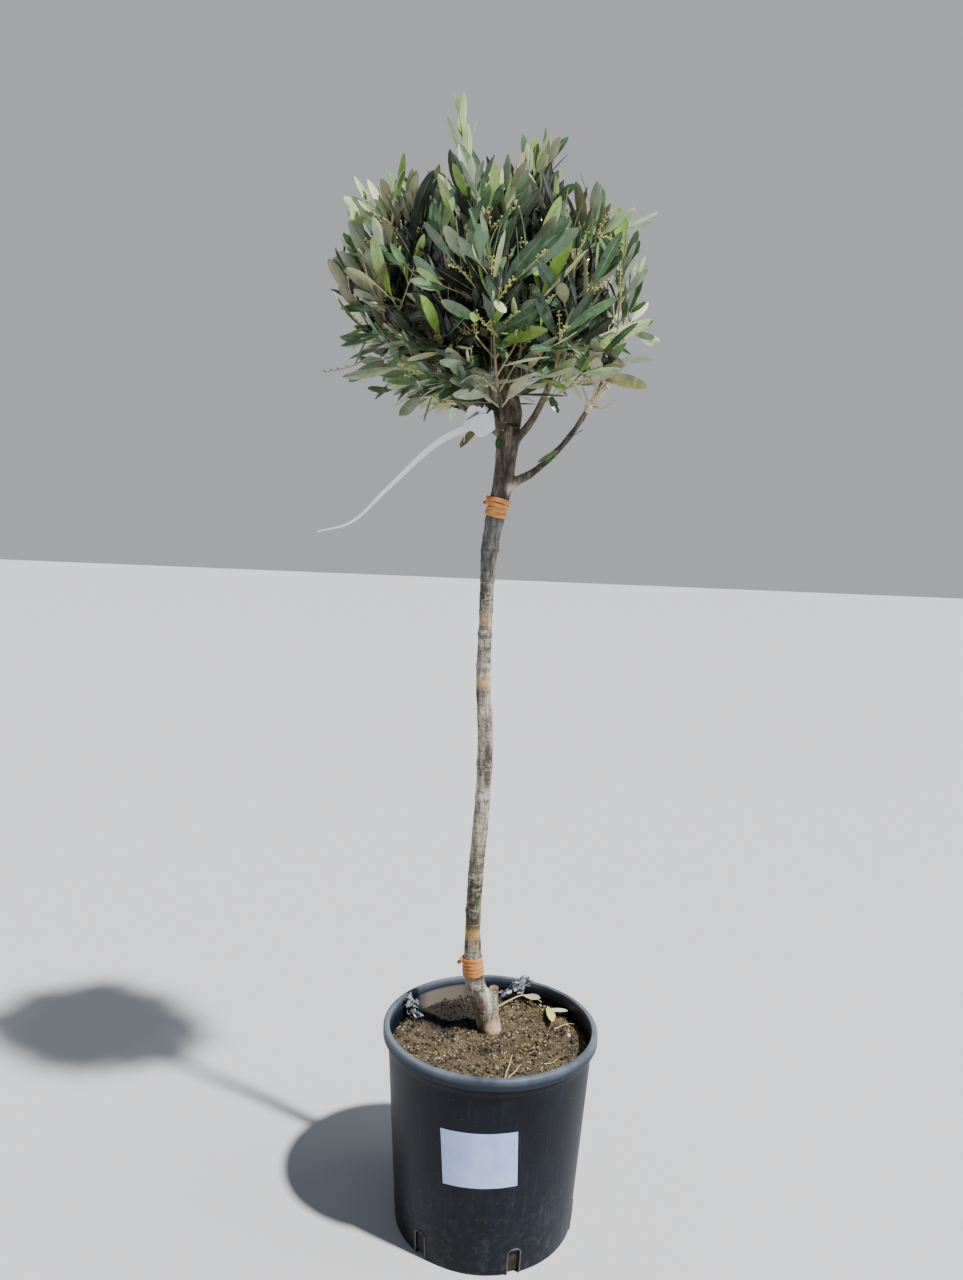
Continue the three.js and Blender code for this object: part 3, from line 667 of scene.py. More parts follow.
# A material whose shader's sockets are filled by the functions below.
class Finish:
    def __init__(self, name, roughness=0.5, **values):
        self.material = bpy.data.materials.new(name)
        self.material.use_nodes = True
        self.nodes = self.material.node_tree.nodes
        self.links = self.material.node_tree.links
        self.shader = self.nodes["Principled BSDF"]
        self.shader.inputs["Roughness"].default_value = roughness
        for socket, value in values.items():
            self.shader.inputs[socket].default_value = value
        self.coords = self.nodes.new("ShaderNodeTexCoord").outputs["Object"]

    def fill(self, socket, value):
        if isinstance(value, bpy.types.NodeSocket):
            self.links.new(value, socket)
        else:
            socket.default_value = value

    def node(self, kind, inputs, operation=None):
        node = self.nodes.new(f"ShaderNode{kind}")
        if operation:
            node.operation = operation
        for name, value in inputs.items():
            self.fill(node.inputs[name], value)
        return node.outputs

    def noise(self, scale, stretch=(1, 1, 1), detail=4, rough=0.55):
        spots = self.node("Mapping", {"Vector": self.coords, "Scale": stretch})["Vector"]
        values = {"Vector": spots, "Scale": scale, "Detail": detail, "Roughness": rough}
        return self.node("TexNoise", values)["Fac"]

    def height(self):
        return self.node("SeparateXYZ", {"Vector": self.coords})["Z"]

    # How far a point lies from the pot's axis
    def off_axis(self):
        flat = self.node("Mapping", {"Vector": self.coords, "Scale": (1, 1, 0)})["Vector"]
        return self.node("VectorMath", {0: flat}, "LENGTH")["Value"]

    # 1 near a place, and 0 from its reach outwards
    def near(self, place, reach):
        spot = [value * MM for value in place]
        away = self.node("VectorMath", {0: self.coords, 1: spot}, "DISTANCE")["Value"]
        return self.band(away, reach * MM, reach * 0.5 * MM)

    # 0 at the low end of a band and 1 at its high end
    def band(self, source, low, high):
        return self.node("MapRange", {"Value": source, "From Min": low, "From Max": high})["Result"]

    def times(self, first, second):
        return self.node("Math", {0: first, 1: second}, "MULTIPLY")["Value"]

    # Colours between places from 0 to 1; a plain number is a share of white
    def ramp(self, source, stops):
        node = self.nodes.new("ShaderNodeValToRGB")
        elements = node.color_ramp.elements
        while len(elements) < len(stops):
            elements.new(0.5)
        for element, (place, colour) in zip(elements, stops):
            element.position = place
            element.color = linear(*colour) if isinstance(colour, tuple) else [colour] * 3 + [1]
        self.links.new(source, node.inputs["Fac"])
        return node.outputs["Color"]

    def mix(self, share, first, second, mode="MIX"):
        node = self.nodes.new("ShaderNodeMix")
        node.data_type = "RGBA"
        node.blend_type = mode
        sockets = [node.inputs["Factor"]] + [socket for socket in node.inputs if socket.type == "RGBA"]
        for socket, value in zip(sockets, (share, first, second)):
            self.fill(socket, value)
        return next(socket for socket in node.outputs if socket.type == "RGBA")

    def colour(self, source):
        self.base = source
        self.fill(self.shader.inputs["Base Color"], source)

    def two_tone(self, source, low, high):
        self.colour(self.ramp(source, [(0.3, low), (0.7, high)]))

    # Lays a colour over what is there, as strongly as a mask and a share say
    def lay(self, colour, mask, share=1.0):
        self.colour(self.mix(self.times(mask, share), self.base, linear(*colour)))

    def rough(self, source, low, high):
        spread = self.node("MapRange", {"Value": source, "To Min": low, "To Max": high})
        self.fill(self.shader.inputs["Roughness"], spread["Result"])

    def bump(self, source, strength, depth):
        values = {"Height": source, "Strength": strength, "Distance": depth * MM}
        for link in self.shader.inputs["Normal"].links:
            values["Normal"] = link.from_socket
        self.fill(self.shader.inputs["Normal"], self.node("Bump", values)["Normal"])


# Yellow stains round the trunk: height in metres, and how strong
STAINS = [(0.302, 0), (0.312, 0.9), (0.322, 0), (0.587, 0), (0.596, 1), (0.604, 0)]
STAINS += [(0.653, 0), (0.664, 0.6), (0.676, 0)]
# Heights in metres of the rings that old leaf joints left, where pale spots are painted highlight
RING_HIGHLIGHT_HEIGHTS = (0.338, 0.378, 0.43, 0.468, 0.505, 0.56, 0.612, 0.648)

# Patches of colour: where, how far they reach, and the colour
BARK_PATCHES_AND_PAINTED_SHADOW = [
    ((-1, -6, 800), 9, (182, 170, 146)),
    ((2.5, 26, 250), 6, (140, 84, 60)),
    # Painted shadow at the left of the trunk's foot
    ((-14, 12, 232), 14, (88, 70, 55)),
    ((2, 14, 205), 10, (206, 178, 142)),
]

# Colours of the bark by its coarse noise, and what multiplies them at which height in metres
BARK_TONES = [
    (0.36, (50, 44, 38)),
    (0.455, (110, 102, 90)),
    (0.54, (172, 165, 152)),
    (0.64, (236, 230, 218)),
]
# The darker, bluer stretch from 0.715 to 0.81 m is painted shade of the crown on the trunk
BARK_TONE_AND_PAINTED_SHADE = [
    (0.2, (255, 232, 204)),
    (0.226, (255, 252, 244)),
    (0.268, (246, 242, 232)),
    (0.3, (186, 175, 157)),
    (0.36, (208, 198, 182)),
    (0.44, (238, 232, 222)),
    (0.69, (234, 232, 228)),
    (0.715, (156, 158, 164)),
    (0.775, (136, 137, 143)),
    (0.81, (152, 143, 134)),
    (0.86, (146, 134, 122)),
    (1, (172, 148, 120)),
]

# Noises of the bark: scale, stretch, detail and roughness
BARK_NOISES = {
    "patches": (48, (1, 1, 0.5), 6, 0.62),
    "furrows": (170, (1, 1, 0.1), 5, 0.65),
    "streaks": (430, (1, 1, 0.14), 6, 0.7),
    "pale": (150, (1, 1, 0.3), 4, 0.6),
    "bloom": (110, (1, 1, 0.6), 5, 0.65),
    "wrinkles": (85, (0.8, 0.8, 4.5), 4, 0.6),
    "flecks": (800, (1, 1, 0.5), 3, 0.6),
    "broken": (120, (1, 1, 1), 5, 0.65),
    "spots": (210, (1, 1, 1), 5, 0.65),
}
# Layers over its patches: colour, noise, where that starts and is full, and how strong. The
# wrinkles end below the dark upper stretch, which is the crown's painted shade.
BARK_LAYERS = [
    ((62, 54, 46), "furrows", 0.52, 0.62, 0.75),
    ((220, 214, 200), "furrows", 0.46, 0.36, 0.4),
    ((74, 64, 54), "streaks", 0.5, 0.68, 0.85),
    ((226, 220, 204), "pale", 0.56, 0.68, 0.75),
    ((182, 192, 172), "bloom", 0.52, 0.66, 0.5),
    ((66, 58, 50), "wrinkles", 0.54, 0.66, 0.6),
    ((212, 206, 192), "wrinkles", 0.44, 0.34, 0.5),
    ((50, 42, 36), "flecks", 0.58, 0.68, 1),
]


def bark_finish():
    finish = Finish("bark", roughness=0.8)
    noises = {name: finish.noise(*values) for name, values in BARK_NOISES.items()}
    height = finish.height()
    low_down = finish.band(height, 0.76, 0.7)
    finish.colour(finish.ramp(noises["patches"], BARK_TONES))
    for colour, name, low, high, share in BARK_LAYERS:
        mask = finish.band(noises[name], low, high)
        if name == "wrinkles":
            mask = finish.times(mask, low_down)
        finish.lay(colour, mask, share)
    # The height ramp multiplies in the bark's tone by height and the crown's painted shade
    finish.colour(finish.mix(1.0, finish.base, finish.ramp(height, BARK_TONE_AND_PAINTED_SHADE), "MULTIPLY"))
    broken = finish.band(noises["broken"], 0.34, 0.52)
    finish.lay((204, 162, 88), broken, finish.ramp(height, STAINS))
    # Pale spots along the rings: painted highlight on their ridges
    rings = [(z + off, share) for z in RING_HIGHLIGHT_HEIGHTS for off, share in ((-0.003, 0), (0, 1), (0.003, 0))]
    spots = finish.band(noises["spots"], 0.44, 0.6)
    finish.lay((228, 224, 216), finish.times(spots, finish.ramp(height, rings)), 0.8)
    # The dark patch at the foot's left is painted shadow
    for place, reach, colour in BARK_PATCHES_AND_PAINTED_SHADOW:
        finish.lay(colour, finish.near(place, reach), finish.band(noises["pale"], 0.35, 0.55))
    finish.rough(noises["streaks"], 0.65, 0.95)
    for name, strength, depth in (("furrows", 0.5, 1.6), ("streaks", 0.7, 0.9), ("flecks", 0.35, 0.35)):
        finish.bump(noises[name], strength, depth)
    return finish.material


def shoot_finish(name, low, high):
    finish = Finish(name, roughness=0.7)
    streaks = finish.noise(300, (1, 1, 0.4))
    finish.two_tone(streaks, low, high)
    finish.bump(streaks, 0.4, 0.3)
    return finish.material


def leaf_finish(name, low, high, roughness):
    finish = Finish(name, roughness=roughness, **{"Specular IOR Level": 0.75})
    mottle = finish.noise(90, rough=0.6)
    finish.two_tone(mottle, low, high)
    finish.rough(mottle, roughness - 0.06, roughness + 0.1)
    finish.bump(finish.noise(700, detail=3), 0.12, 0.2)
    return finish.material


# Where the soil is painted darker: a place, and how far it reaches
# The two wide ones are painted shadow in the hollow at the back left; the small one lies in front
DARKER_SOIL = [((-66, 56, 190), 46), ((-36, 60, 190), 46), ((-5, -26, 199), 10)]


def soil_finish(name, low, high):
    finish = Finish(name, roughness=0.95)
    grains = finish.noise(520, (1, 1, 1), 6, 0.7)
    finish.two_tone(grains, low, high)
    finish.lay((140, 124, 88), finish.band(finish.noise(38), 0.45, 0.75), 0.45)
    finish.lay((54, 45, 34), finish.band(finish.noise(95, (1, 1, 1), 5, 0.65), 0.5, 0.64), 0.6)
    # Painted shadow in the hollow at the back left, and a small dark spot
    for place, reach in DARKER_SOIL:
        finish.lay((24, 19, 16), finish.near(place, reach), 0.85)
    finish.bump(grains, 0.8, 1.2)
    return finish.material


# The pot's plastic: dust low down, specks, painted sheen on the lip and a painted highlight along
# its top, scuffs, and a paler patch on the wall's inside at the back left. Heights are in metres.
def pot_finish():
    finish = Finish("pot_plastic", roughness=0.42, **{"Specular IOR Level": 0.16})
    clouds = finish.noise(16, (1, 1, 0.7), 5, 0.6)
    brushed = finish.noise(260, (1, 1, 0.06), 4, 0.6)
    dust = finish.noise(120, (1, 1, 1), 6, 0.7)
    specks = finish.noise(620, (1, 1, 1), 2)
    height = finish.height()
    finish.two_tone(clouds, (8, 10, 17), (20, 25, 38))
    low_down = finish.band(height, 0.11, 0.0)
    finish.lay((112, 106, 98), finish.times(finish.band(dust, 0.5, 0.8), low_down), 0.35)
    finish.lay((140, 140, 138), finish.band(specks, 0.72, 0.78), 0.7)
    # A paler, bluer lip above 208.5 mm: painted reflection of the sky
    finish.lay((38, 45, 58), finish.band(height, 0.2075, 0.2085), 0.85)
    # A pale band along the lip's top, broken up by noise: painted highlight
    painted_lip_highlight = finish.times(finish.band(height, 0.2125, 0.2195), finish.band(clouds, 0.25, 0.55))
    finish.lay((122, 130, 142), painted_lip_highlight, 0.7)
    scuffs = finish.times(finish.band(brushed, 0.52, 0.74), finish.band(clouds, 0.4, 0.6))
    finish.lay((78, 84, 94), scuffs, 0.2)
    # A paler patch on the wall's inside at the back left
    inside_patch = finish.times(finish.near((-56, 92, 202), 44), finish.band(height, 0.2125, 0.2095))
    inside = finish.band(finish.off_axis(), 0.1108, 0.1102)
    finish.lay((128, 120, 108), finish.times(inside_patch, inside), 0.75)
    finish.rough(clouds, 0.36, 0.56)
    finish.bump(brushed, 0.25, 0.3)
    finish.bump(finish.noise(45, (1, 1, 0.5), 3), 0.2, 1.2)
    return finish.material


def plain_finish(name, low, high, roughness, scale=200, stretch=(1, 1, 1), relief=0.2):
    finish = Finish(name, roughness=roughness)
    grain = finish.noise(scale, stretch, 5)
    finish.two_tone(grain, low, high)
    finish.rough(grain, roughness - 0.08, roughness + 0.12)
    finish.bump(grain, relief, 0.3)
    return finish.material


# Bark: trunk and boughs joined into one skin, then given the bark's relief

def limb_points(curve, radius_at, step):
    count = max(int(curve.length / step), 3)
    shares = [i / count for i in range(count + 1)]
    return [curve.point(s) for s in shares], [radius_at(s) for s in shares]


# The cut stub of an older stem at the foot and the web that joins it to the trunk: root, end,
# and radii at the root, halfway and at the end
STUBS = [
    ((-2, 25, 199), (2.5, 26, 248), (11.5, 8.2, 5.2)),
    ((-5, 25, 205), (-5, 25.5, 240), (11, 10, 7)),
]


def bark_tubes():
    gather = Gather()
    points, radii = limb_points(*routes["trunk"], 5)
    top = points[-1] + Vector((1, 0, 4))
    gather.add(*tube(points + [top], radii + [radii[-1] * 0.6], 32))
    for root, end, radii in STUBS:
        line = [Vector(root).lerp(Vector(end), i / 6) for i in range(7)]
        gather.add(*tube(line, [float(np.interp(i / 6, (0, 0.5, 1), radii)) for i in range(7)], 24))
    for limb in LIMBS:
        curve, radius_at = routes[limb["name"]]
        parent_radius = routes[limb["parent"]][1](limb["at"])
        points, radii = limb_points(curve, radius_at, 3)
        flared = []
        for i, radius in enumerate(radii):
            out = curve.length * i / (len(radii) - 1) - parent_radius
            flared.append(radius * (1 + 0.4 * math.exp(-max(out, 0) / 6)))
        gather.add(*tube(points, flared, 20))
    return gather


# Rings that old leaf joints left
NODE_RINGS = [
    # height, azimuth, how proud and how tall
    (338, 180, 0.8, 4),
    (378, 20, 0.7, 3.5),
    (430, 60, 0.8, 4),
    (468, 200, 0.7, 3.5),
    (505, 200, 0.9, 4),
    (560, 0, 1.1, 4),
    (612, 350, 1.3, 3.5),
    (648, 190, 1.2, 4),
    (671, 30, 0.9, 4),
    (706, 250, 1.0, 4),
    (737, 350, 1.7, 4.5),
    (766, 160, 0.9, 5),
    (812, 20, 0.8, 6),
    (838, 200, 0.9, 7),
]
# The split under the fork, and the heights between which the bark has rings and deep wrinkles
SPLIT = {"z": 852, "around": -2.3, "depth": 2.6}
RINGED = {"from": 210, "to": 880}
WRINKLED_TO = 770
# Sizes of its furrows, its fine grain and its wrinkles, across and along the trunk
BARK_GRAIN = [(2.4, 20), (1.2, 4), (14, 2.6)]


# Noise with its own sizes across and along.
def noise_at(x, y, z, across, along=1):
    return noise.noise(Vector((x / across, y / across, z / along)))


# How far the bark stands out at a point, in millimetres.
def bark_relief(spot, around):
    lumps = noise.noise(spot / 15) * 0.55
    fissure, fine, wrinkle = (noise_at(*spot, *sizes) for sizes in BARK_GRAIN)
    relief = lumps - 0.55 * max(fissure, 0) + 0.2 * fine
    relief += (0.3 if spot.z < WRINKLED_TO else 0.08) * wrinkle
    if spot.z > RINGED["to"] or spot.z < RINGED["from"]:
        return relief
    up, aside = (spot.z - SPLIT["z"]) / 16, (around - SPLIT["around"]) / 0.2
    split = math.exp(-(up**4)) * math.exp(-(aside**2))
    relief -= SPLIT["depth"] * split
    for z, azimuth, proud, spread in NODE_RINGS:
        near = math.exp(-(((spot.z - z) / spread) ** 2))
        if near > 0.01:
            facing = 0.5 + 0.5 * math.cos(around - math.radians(azimuth))
            relief += proud * near * (0.35 + 0.65 * facing)
    return relief


# Moves a skin's points out by the bark's relief.
def add_relief(skin):
    place = np.empty(len(skin.vertices) * 3)
    normal = np.empty(len(skin.vertices) * 3)
    skin.vertices.foreach_get("co", place)
    skin.vertices.foreach_get("normal", normal)
    place = place.reshape(-1, 3) / MM
    heights, across, deep, _ = zip(*TRUNK)
    centre_x = np.interp(place[:, 2], heights, across)
    centre_y = np.interp(place[:, 2], heights, deep)
    around = np.arctan2(place[:, 1] - centre_y, place[:, 0] - centre_x)
    relief = np.array([bark_relief(Vector(p), a) for p, a in zip(place, around)])
    place += normal.reshape(-1, 3) * relief[:, None]
    skin.vertices.foreach_set("co", (place * MM).ravel())
    skin.update()


def bark_piece():
    rough = bark_tubes().piece("bark_tubes", [])
    remesh = rough.modifiers.new("skin", "REMESH")
    remesh.mode = "VOXEL"
    remesh.voxel_size = 1.15 * MM
    smooth = rough.modifiers.new("soft", "SMOOTH")
    smooth.factor = 0.5
    smooth.iterations = 5
    skin = applied(rough, bark_finish())
    add_relief(skin)
    skin.polygons.foreach_set("use_smooth", np.ones(len(skin.polygons), dtype=bool))
    return link_object("bark", skin)


finish_piece(bark_piece(), "bark", "trunk", *[f"bough_{limb['name']}" for limb in LIMBS])


# Foliage: the twigs and leaves of every mass

TINTS = [
    # how often, upper side low and high, underside low and high
    (0.26, (38, 66, 44), (76, 108, 74), (124, 122, 90), (160, 158, 124)),
    (0.24, (66, 98, 66), (110, 144, 100), (122, 136, 108), (162, 174, 148)),
    # Near black: painted shade for leaves deep in the crown, also dealt to some sprays and lone leaves
    (0.14, (6, 15, 10), (16, 30, 20), (44, 54, 42), (70, 80, 64)),
    (0.2, (108, 138, 86), (154, 180, 126), (150, 166, 128), (190, 202, 166)),
    (0.11, (116, 154, 60), (160, 192, 100), (168, 184, 120), (202, 214, 160)),
    (0.05, (98, 98, 54), (134, 132, 80), (134, 136, 98), (168, 168, 132)),
]
# Painted shade on leaves deep in the crown: how deep at which height over its centre, and how many
SHADED = {"tint": 2, "heights": (20, 110), "within": (0.71, 0.4), "share": 0.8}
# Leaves near the outside that would be near black take this tint, as painted sunlight
SUNLIT = {"tint": 1, "beyond": 0.82}
YOUNG = {"tint": 4, "share": 0.2, "shoots": (3, 4)}
ODD_SHARE = 0.35
# Leaves with a cut tip, from a height over the crown's centre
CUT = {"above": 70, "share": 0.32}
# Twigs that carry flower buds, more of them low down
BUDS = {"heights": (960, 1080), "shares": (0.75, 0.12)}


def bent_twig(twig, random):
    root, towards, length = twig["root"], twig["towards"], twig["length"]
    sag = towards.orthogonal().normalized() * random(-0.03, 0.03) + UP * random(-0.02, 0.03)
    steps = max(int(length / 8), 2)
    points = []
    for i in range(steps + 1):
        share = i / steps
        points.append(root + towards * length * share + sag * length * share * (1 - share) * 2)
    return points


def choose_tint(random):
    draw = random()
    for i, row in enumerate(TINTS):
        draw -= row[0]
        if draw < 0:
            return i
    return 0


def stem_tube(limb, stem):
    curve, radius_at = routes[limb["name"]]
    points = [curve.point(0.97)] + [stem.point(i / 14) for i in range(15)]
    radii = [radius_at(1)] + [lerp(radius_at(1), STEM["tip"], (i / 14) ** 0.7) for i in range(15)]
    return tube(points, radii, 8)


def shoot_tube(twig, sizes, random):
    points = bent_twig(twig, random)
    radii = [lerp(sizes["radius"], sizes["tip"], i / (len(points) - 1)) for i in range(len(points))]
    return tube(points, radii, 6)


# The leaves, twigs and stems of all masses, and the twigs that carry flower buds with their places.
def grow_crown():
    leaves = []
    shoots = Gather()
    stems = Gather()
    clusters = []
    for number, limb in enumerate(LIMBS):
        stem = stem_curve(limb)
        random = seeded(SEED + number * 31337)
        stems.add(*stem_tube(limb, stem))
        if limb["shoot"]:
            shoot = {"short": -12}
            places = shoot_leaf_places(number, stem, TALL_SHOOT[limb["shoot"]])
            leaves += fitted(shoot, places, YOUNG["shoots"][number % 2], random)
        for i, twig in enumerate(grow_twigs(number, stem) + grow_side_twigs(limb, number)):
            spray = choose_tint(random)
            leaves += fitted(twig, leaf_places(twig, number * 100 + i), spray, random)
            if twig["length"] == 0:
                continue
            shoots.add(*shoot_tube(twig, TWIG, random))
            if random() < np.interp(twig["root"].z, BUDS["heights"], BUDS["shares"]):
                clusters.append((twig, random(0.3, 0.9)))
            for k, sprig in enumerate(grow_sprigs(number * 1000 + i, twig)):
                key = number * 100000 + i * 100 + k
                places = leaf_places(sprig, key, SPRIG["spacing"], SPRIG["scale"])
                leaves += fitted(sprig, places, spray, random)
                shoots.add(*shoot_tube(sprig, SPRIG, random))
    return leaves, shoots, stems, clusters


# Leaf blades: shares of the length, width at each, columns across, and the leaf's own stalk

BLADE_STATIONS = (0.0, 0.1, 0.28, 0.5, 0.72, 0.9, 1.0)
BLADE_WIDTHS = (0.07, 0.32, 0.74, 1.0, 0.94, 0.6, 0.12)
BLADE_COLUMNS = (-1.0, -0.55, -0.05, 0.05, 0.55, 1.0)
PETIOLE = 3.5


# How far a blade that bends by an angle reaches along and to the side, as shares of its length.
def bent_reach(angle):
    if abs(angle) <= 1e-3:
        return 1, 0
    return math.sin(angle) / angle, (1 - math.cos(angle)) / angle


def blade_axes(towards, blade):
    side = towards.cross(blade).normalized()
    return side, side.cross(towards).normalized()


# One leaf's points, row by row, first of its upper side and then of its underside.
def blade_verts(leaf, random):
    towards = leaf["towards"]
    side, normal = blade_axes(towards, leaf["blade"])
    roll = Quaternion(towards, random(-0.5, 0.5))
    side, normal = roll @ side, roll @ normal
    length = leaf["size"]
    half = LEAF["width"] / 2 * (length / LEAF["length"]) ** 0.7 * random(0.8, 1.2)
    bend = random(-0.35, 0.55)
    fold = random(0.04, 0.26)
    sweep = random(-0.2, 0.2)
    cut = random(0.55, 0.85) if leaf.get("cut") else 1.0
    if DROOP["from"] < leaf["root"].z < DROOP["to"]:
        towards = (towards - UP * random(0, DROOP["most"])).normalized()
        side, normal = blade_axes(towards, leaf["blade"])
    upper, under = [], []
    for station, wide in zip(BLADE_STATIONS, BLADE_WIDTHS):
        share = station * cut
        reach = (length - PETIOLE) * share
        along, down = bent_reach(bend * share)
        middle = leaf["root"] + towards * (PETIOLE + reach * along) + normal * (-reach * down)
        middle += side * (sweep * length * share * share * 0.5)
        width = half * (max(wide, 0.8) if cut < 1 and station > 0.9 else wide)
        for column in BLADE_COLUMNS:
            lift = fold * abs(column) ** 1.3 * width * (1 - 0.25 * abs(column))
            thickness = 0.12 + 0.3 * (1 - abs(column) ** 4)
            upper.append(middle + side * column * width + normal * lift)
            under.append(upper[-1] - normal * thickness)
    return upper + under


# Faces of one leaf; slot 0 is the upper side, 1 the underside and the rim, 2 the midrib.
def blade_faces():
    columns, rows = len(BLADE_COLUMNS), len(BLADE_STATIONS)
    offset = columns * rows
    faces, slots = [], []
    for i in range(rows - 1):
        for k in range(columns - 1):
            a, b = i * columns + k, (i + 1) * columns + k
            faces.append([a, a + 1, b + 1, b])
            faces.append([offset + b, offset + b + 1, offset + a + 1, offset + a])
            slots += (2, 2) if k == 2 else (0, 1)
    for i in range(rows - 1):
        for k in (0, columns - 1):
            a, b = i * columns + k, (i + 1) * columns + k
            rim = [a, b, offset + b, offset + a]
            faces.append(rim if k == 0 else rim[::-1])
            slots.append(1)
    return faces, slots


# Most leaves take their spray's tint. Leaves at a tip can be young ones, most of those deep in the
# crown take the near-black tint as painted shade, and none at its outside do, as painted sunlight.
def leaf_tint(leaf, random):
    if leaf.get("kept"):
        return leaf["tint"]
    out = leaf["root"] + leaf["towards"] * (leaf["size"] / 2) - CROWN_CENTRE
    depth = out.length / crown_reach(out.normalized())
    shaded_within = float(np.interp(out.z, SHADED["heights"], SHADED["within"]))
    if depth < shaded_within and random() < SHADED["share"]:
        return SHADED["tint"]
    if leaf["back"] < 3 and random() < YOUNG["share"]:
        return YOUNG["tint"]
    tint = choose_tint(random) if random() < ODD_SHARE else leaf["tint"]
    return SUNLIT["tint"] if tint == SHADED["tint"] and depth > SUNLIT["beyond"] else tint


def build_leaves(leaves):
    random = seeded(SEED + 99991)
    faces, slots = blade_faces()
    groups = [Gather() for _ in TINTS]
    petioles = Gather()
    for leaf in leaves:
        tint = leaf_tint(leaf, random)
        high = leaf["root"].z > CROWN_CENTRE.z + CUT["above"]
        leaf["cut"] = high and random() < CUT["share"]
        groups[tint].add(blade_verts(leaf, random), faces, slots)
        start = leaf["root"]
        petioles.add(*tube([start, start + leaf["towards"] * 4], [0.6, 0.5], 4))
    return groups, petioles


# Leaves that stand on their own on a bough: which bough and how far along it, heading, length
# and tint
LONE_LEAVES = [
    ("low_right", 0.5, (-0.9, -0.3, -0.25), 34, 3),
    ("low_right", 0.46, (-0.6, -0.5, -0.5), 30, 0),
    ("low_right", 0.55, (0.5, -0.6, 0.5), 24, 2),
    ("low_left", 0.4, (-0.9, -0.3, -0.35), 36, 5),
    ("low_front", 0.4, (0.6, -0.7, 0.0), 28, 2),
    ("low_front", 0.3, (-0.35, -0.8, -0.45), 30, 0),
    ("right", 0.5, (0.5, -0.4, -0.75), 28, 0),
]
# Sprays that reach out of the crown: which stem and how far along it, heading, length, size of
# the leaves as a share of the usual, and tint
SPRAYS = [
    ("right", 1.0, (0.86, 0.45, 0.32), 38, 0.55, 3),
    ("back_right", 1.0, (0.8, -0.5, 0.5), 30, 0.6, 1),
    ("low_right", 1.0, (0.95, 0.0, -0.25), 10, 0.5, 3),
    ("top_right", 0.7, (0.3, -0.25, 0.9), 12, 0.78, 4),
    ("top_right", 0.68, (-0.15, -0.5, 0.85), 18, 0.72, 3),
    ("low_left", 1.0, (-0.55, 0.05, 0.83), 36, 0.75, 0),
    ("left", 0.8, (-0.75, 0.3, 0.45), 30, 0.8, 4),
    ("left", 0.3, (-0.85, 0.2, 0.1), 40, 0.85, 3),
    ("low_left", 0.5, (-0.9, -0.1, -0.3), 34, 0.7, 0),
    ("low_left", 0.1, (-0.6, -0.5, -0.35), 26, 0.7, 1),
]


def lone_leaves():
    places = []
    for name, share, heading, size, tint in LONE_LEAVES:
        place = {"root": routes[name][0].point(share), "towards": Vector(heading).normalized()}
        place |= {"blade": Vector((0, -0.6, 0.8)), "size": size, "back": 9, "tint": tint, "kept": True}
        places.append(place)
    return places


def outer_sprays(shoots):
    random = seeded(SEED + 611953)
    stems_by_name = {limb["name"]: stem_curve(limb) for limb in LIMBS}
    places = []
    for number, (name, share, heading, length, scale, tint) in enumerate(SPRAYS):
        root = stems_by_name[name].point(share)
        twig = {"root": root, "towards": Vector(heading).normalized(), "length": length}
        shoots.add(*shoot_tube(twig, TWIG, random))
        for place in leaf_places(twig, 5000 + number, 10, scale):
            places.append({**place, "tint": tint, "kept": True})
    return places


# Thin twigs at the low right bough's joint: where each ends from the joint, and how far it bows up
JOINT_TWIGS = [
    ((26, -10, 6), -5),
    ((-16, -12, 26), 4),
    ((36, 2, 44), 5),
    ((6, -16, 30), -6),
]
BARE_TWIG = [(-150, -22, 928), (-166, -26, 917), (-181, -26, 912), (-197, -24, 909)]


# The swollen joint and the cut end of the low right bough, its thin twigs, and the bare twig of
# buds low at the left.
def lone_twigs(shoots, wood):
    end = KNOT + Vector((17, -9, 19))
    heading = routes["low_right"][0].tangent(KNOT_AT)
    wood.add(*tube([KNOT + heading * along for along in (-7, -3, 0, 5)], [2.6, 4.4, 4.7, 2.6], 14))
    wood.add(*tube([KNOT, KNOT.lerp(end, 0.5), end], [3.4, 2.9, 2.6], 12))
    for reach, bow in JOINT_TWIGS:
        tip = KNOT + Vector(reach)
        shoots.add(*tube([KNOT, KNOT.lerp(tip, 0.5) + UP * bow, tip], [1.3, 1.0, 0.6], 6))
    line = smooth_line(BARE_TWIG)
    shoots.add(*tube([line.point(i / 8) for i in range(9)], [0.9 - 0.05 * i for i in range(9)], 6))
    for share in (0.35, 0.55, 0.72, 0.86, 1.0):
        shoots.add(*ball(line.point(share) + Vector((0, -0.5, 1.2)), 1.25))


leaves, shoots, stems, clusters = grow_crown()
leaves += lone_leaves() + outer_sprays(shoots)
cut_wood = Gather()
lone_twigs(shoots, cut_wood)
groups, petioles = build_leaves(leaves)
mass_nodes = [f"foliage_{limb['name']}" for limb in LIMBS]
rib = leaf_finish("leaf_rib", (112, 124, 84), (142, 150, 108), 0.5)
# The third group, near black, is painted shade deep in the crown
for i, (group, row) in enumerate(zip(groups, TINTS)):
    upper = leaf_finish(f"leaf_upper_{i + 1}", row[1], row[2], 0.26)
    under = leaf_finish(f"leaf_under_{i + 1}", row[3], row[4], 0.6)
    blades = group.piece(f"leaves_{i + 1}", [upper, under, rib])
    finish_piece(blades, "leaf", *(mass_nodes if i == 0 else []))
stem_bark = shoot_finish("stem_bark", (118, 102, 82), (168, 148, 122))
twig_bark = shoot_finish("twig_bark", (142, 134, 96), (186, 174, 132))
stalk = shoot_finish("leaf_stalk", (180, 182, 104), (208, 204, 136))
finish_piece(stems.piece("stems", [stem_bark]), "bark")
finish_piece(shoots.piece("twigs", [twig_bark]), "bark")
pale_wood = shoot_finish("pale_wood", (170, 150, 122), (214, 198, 168))
finish_piece(cut_wood.piece("cut_end", [pale_wood]), "bark")
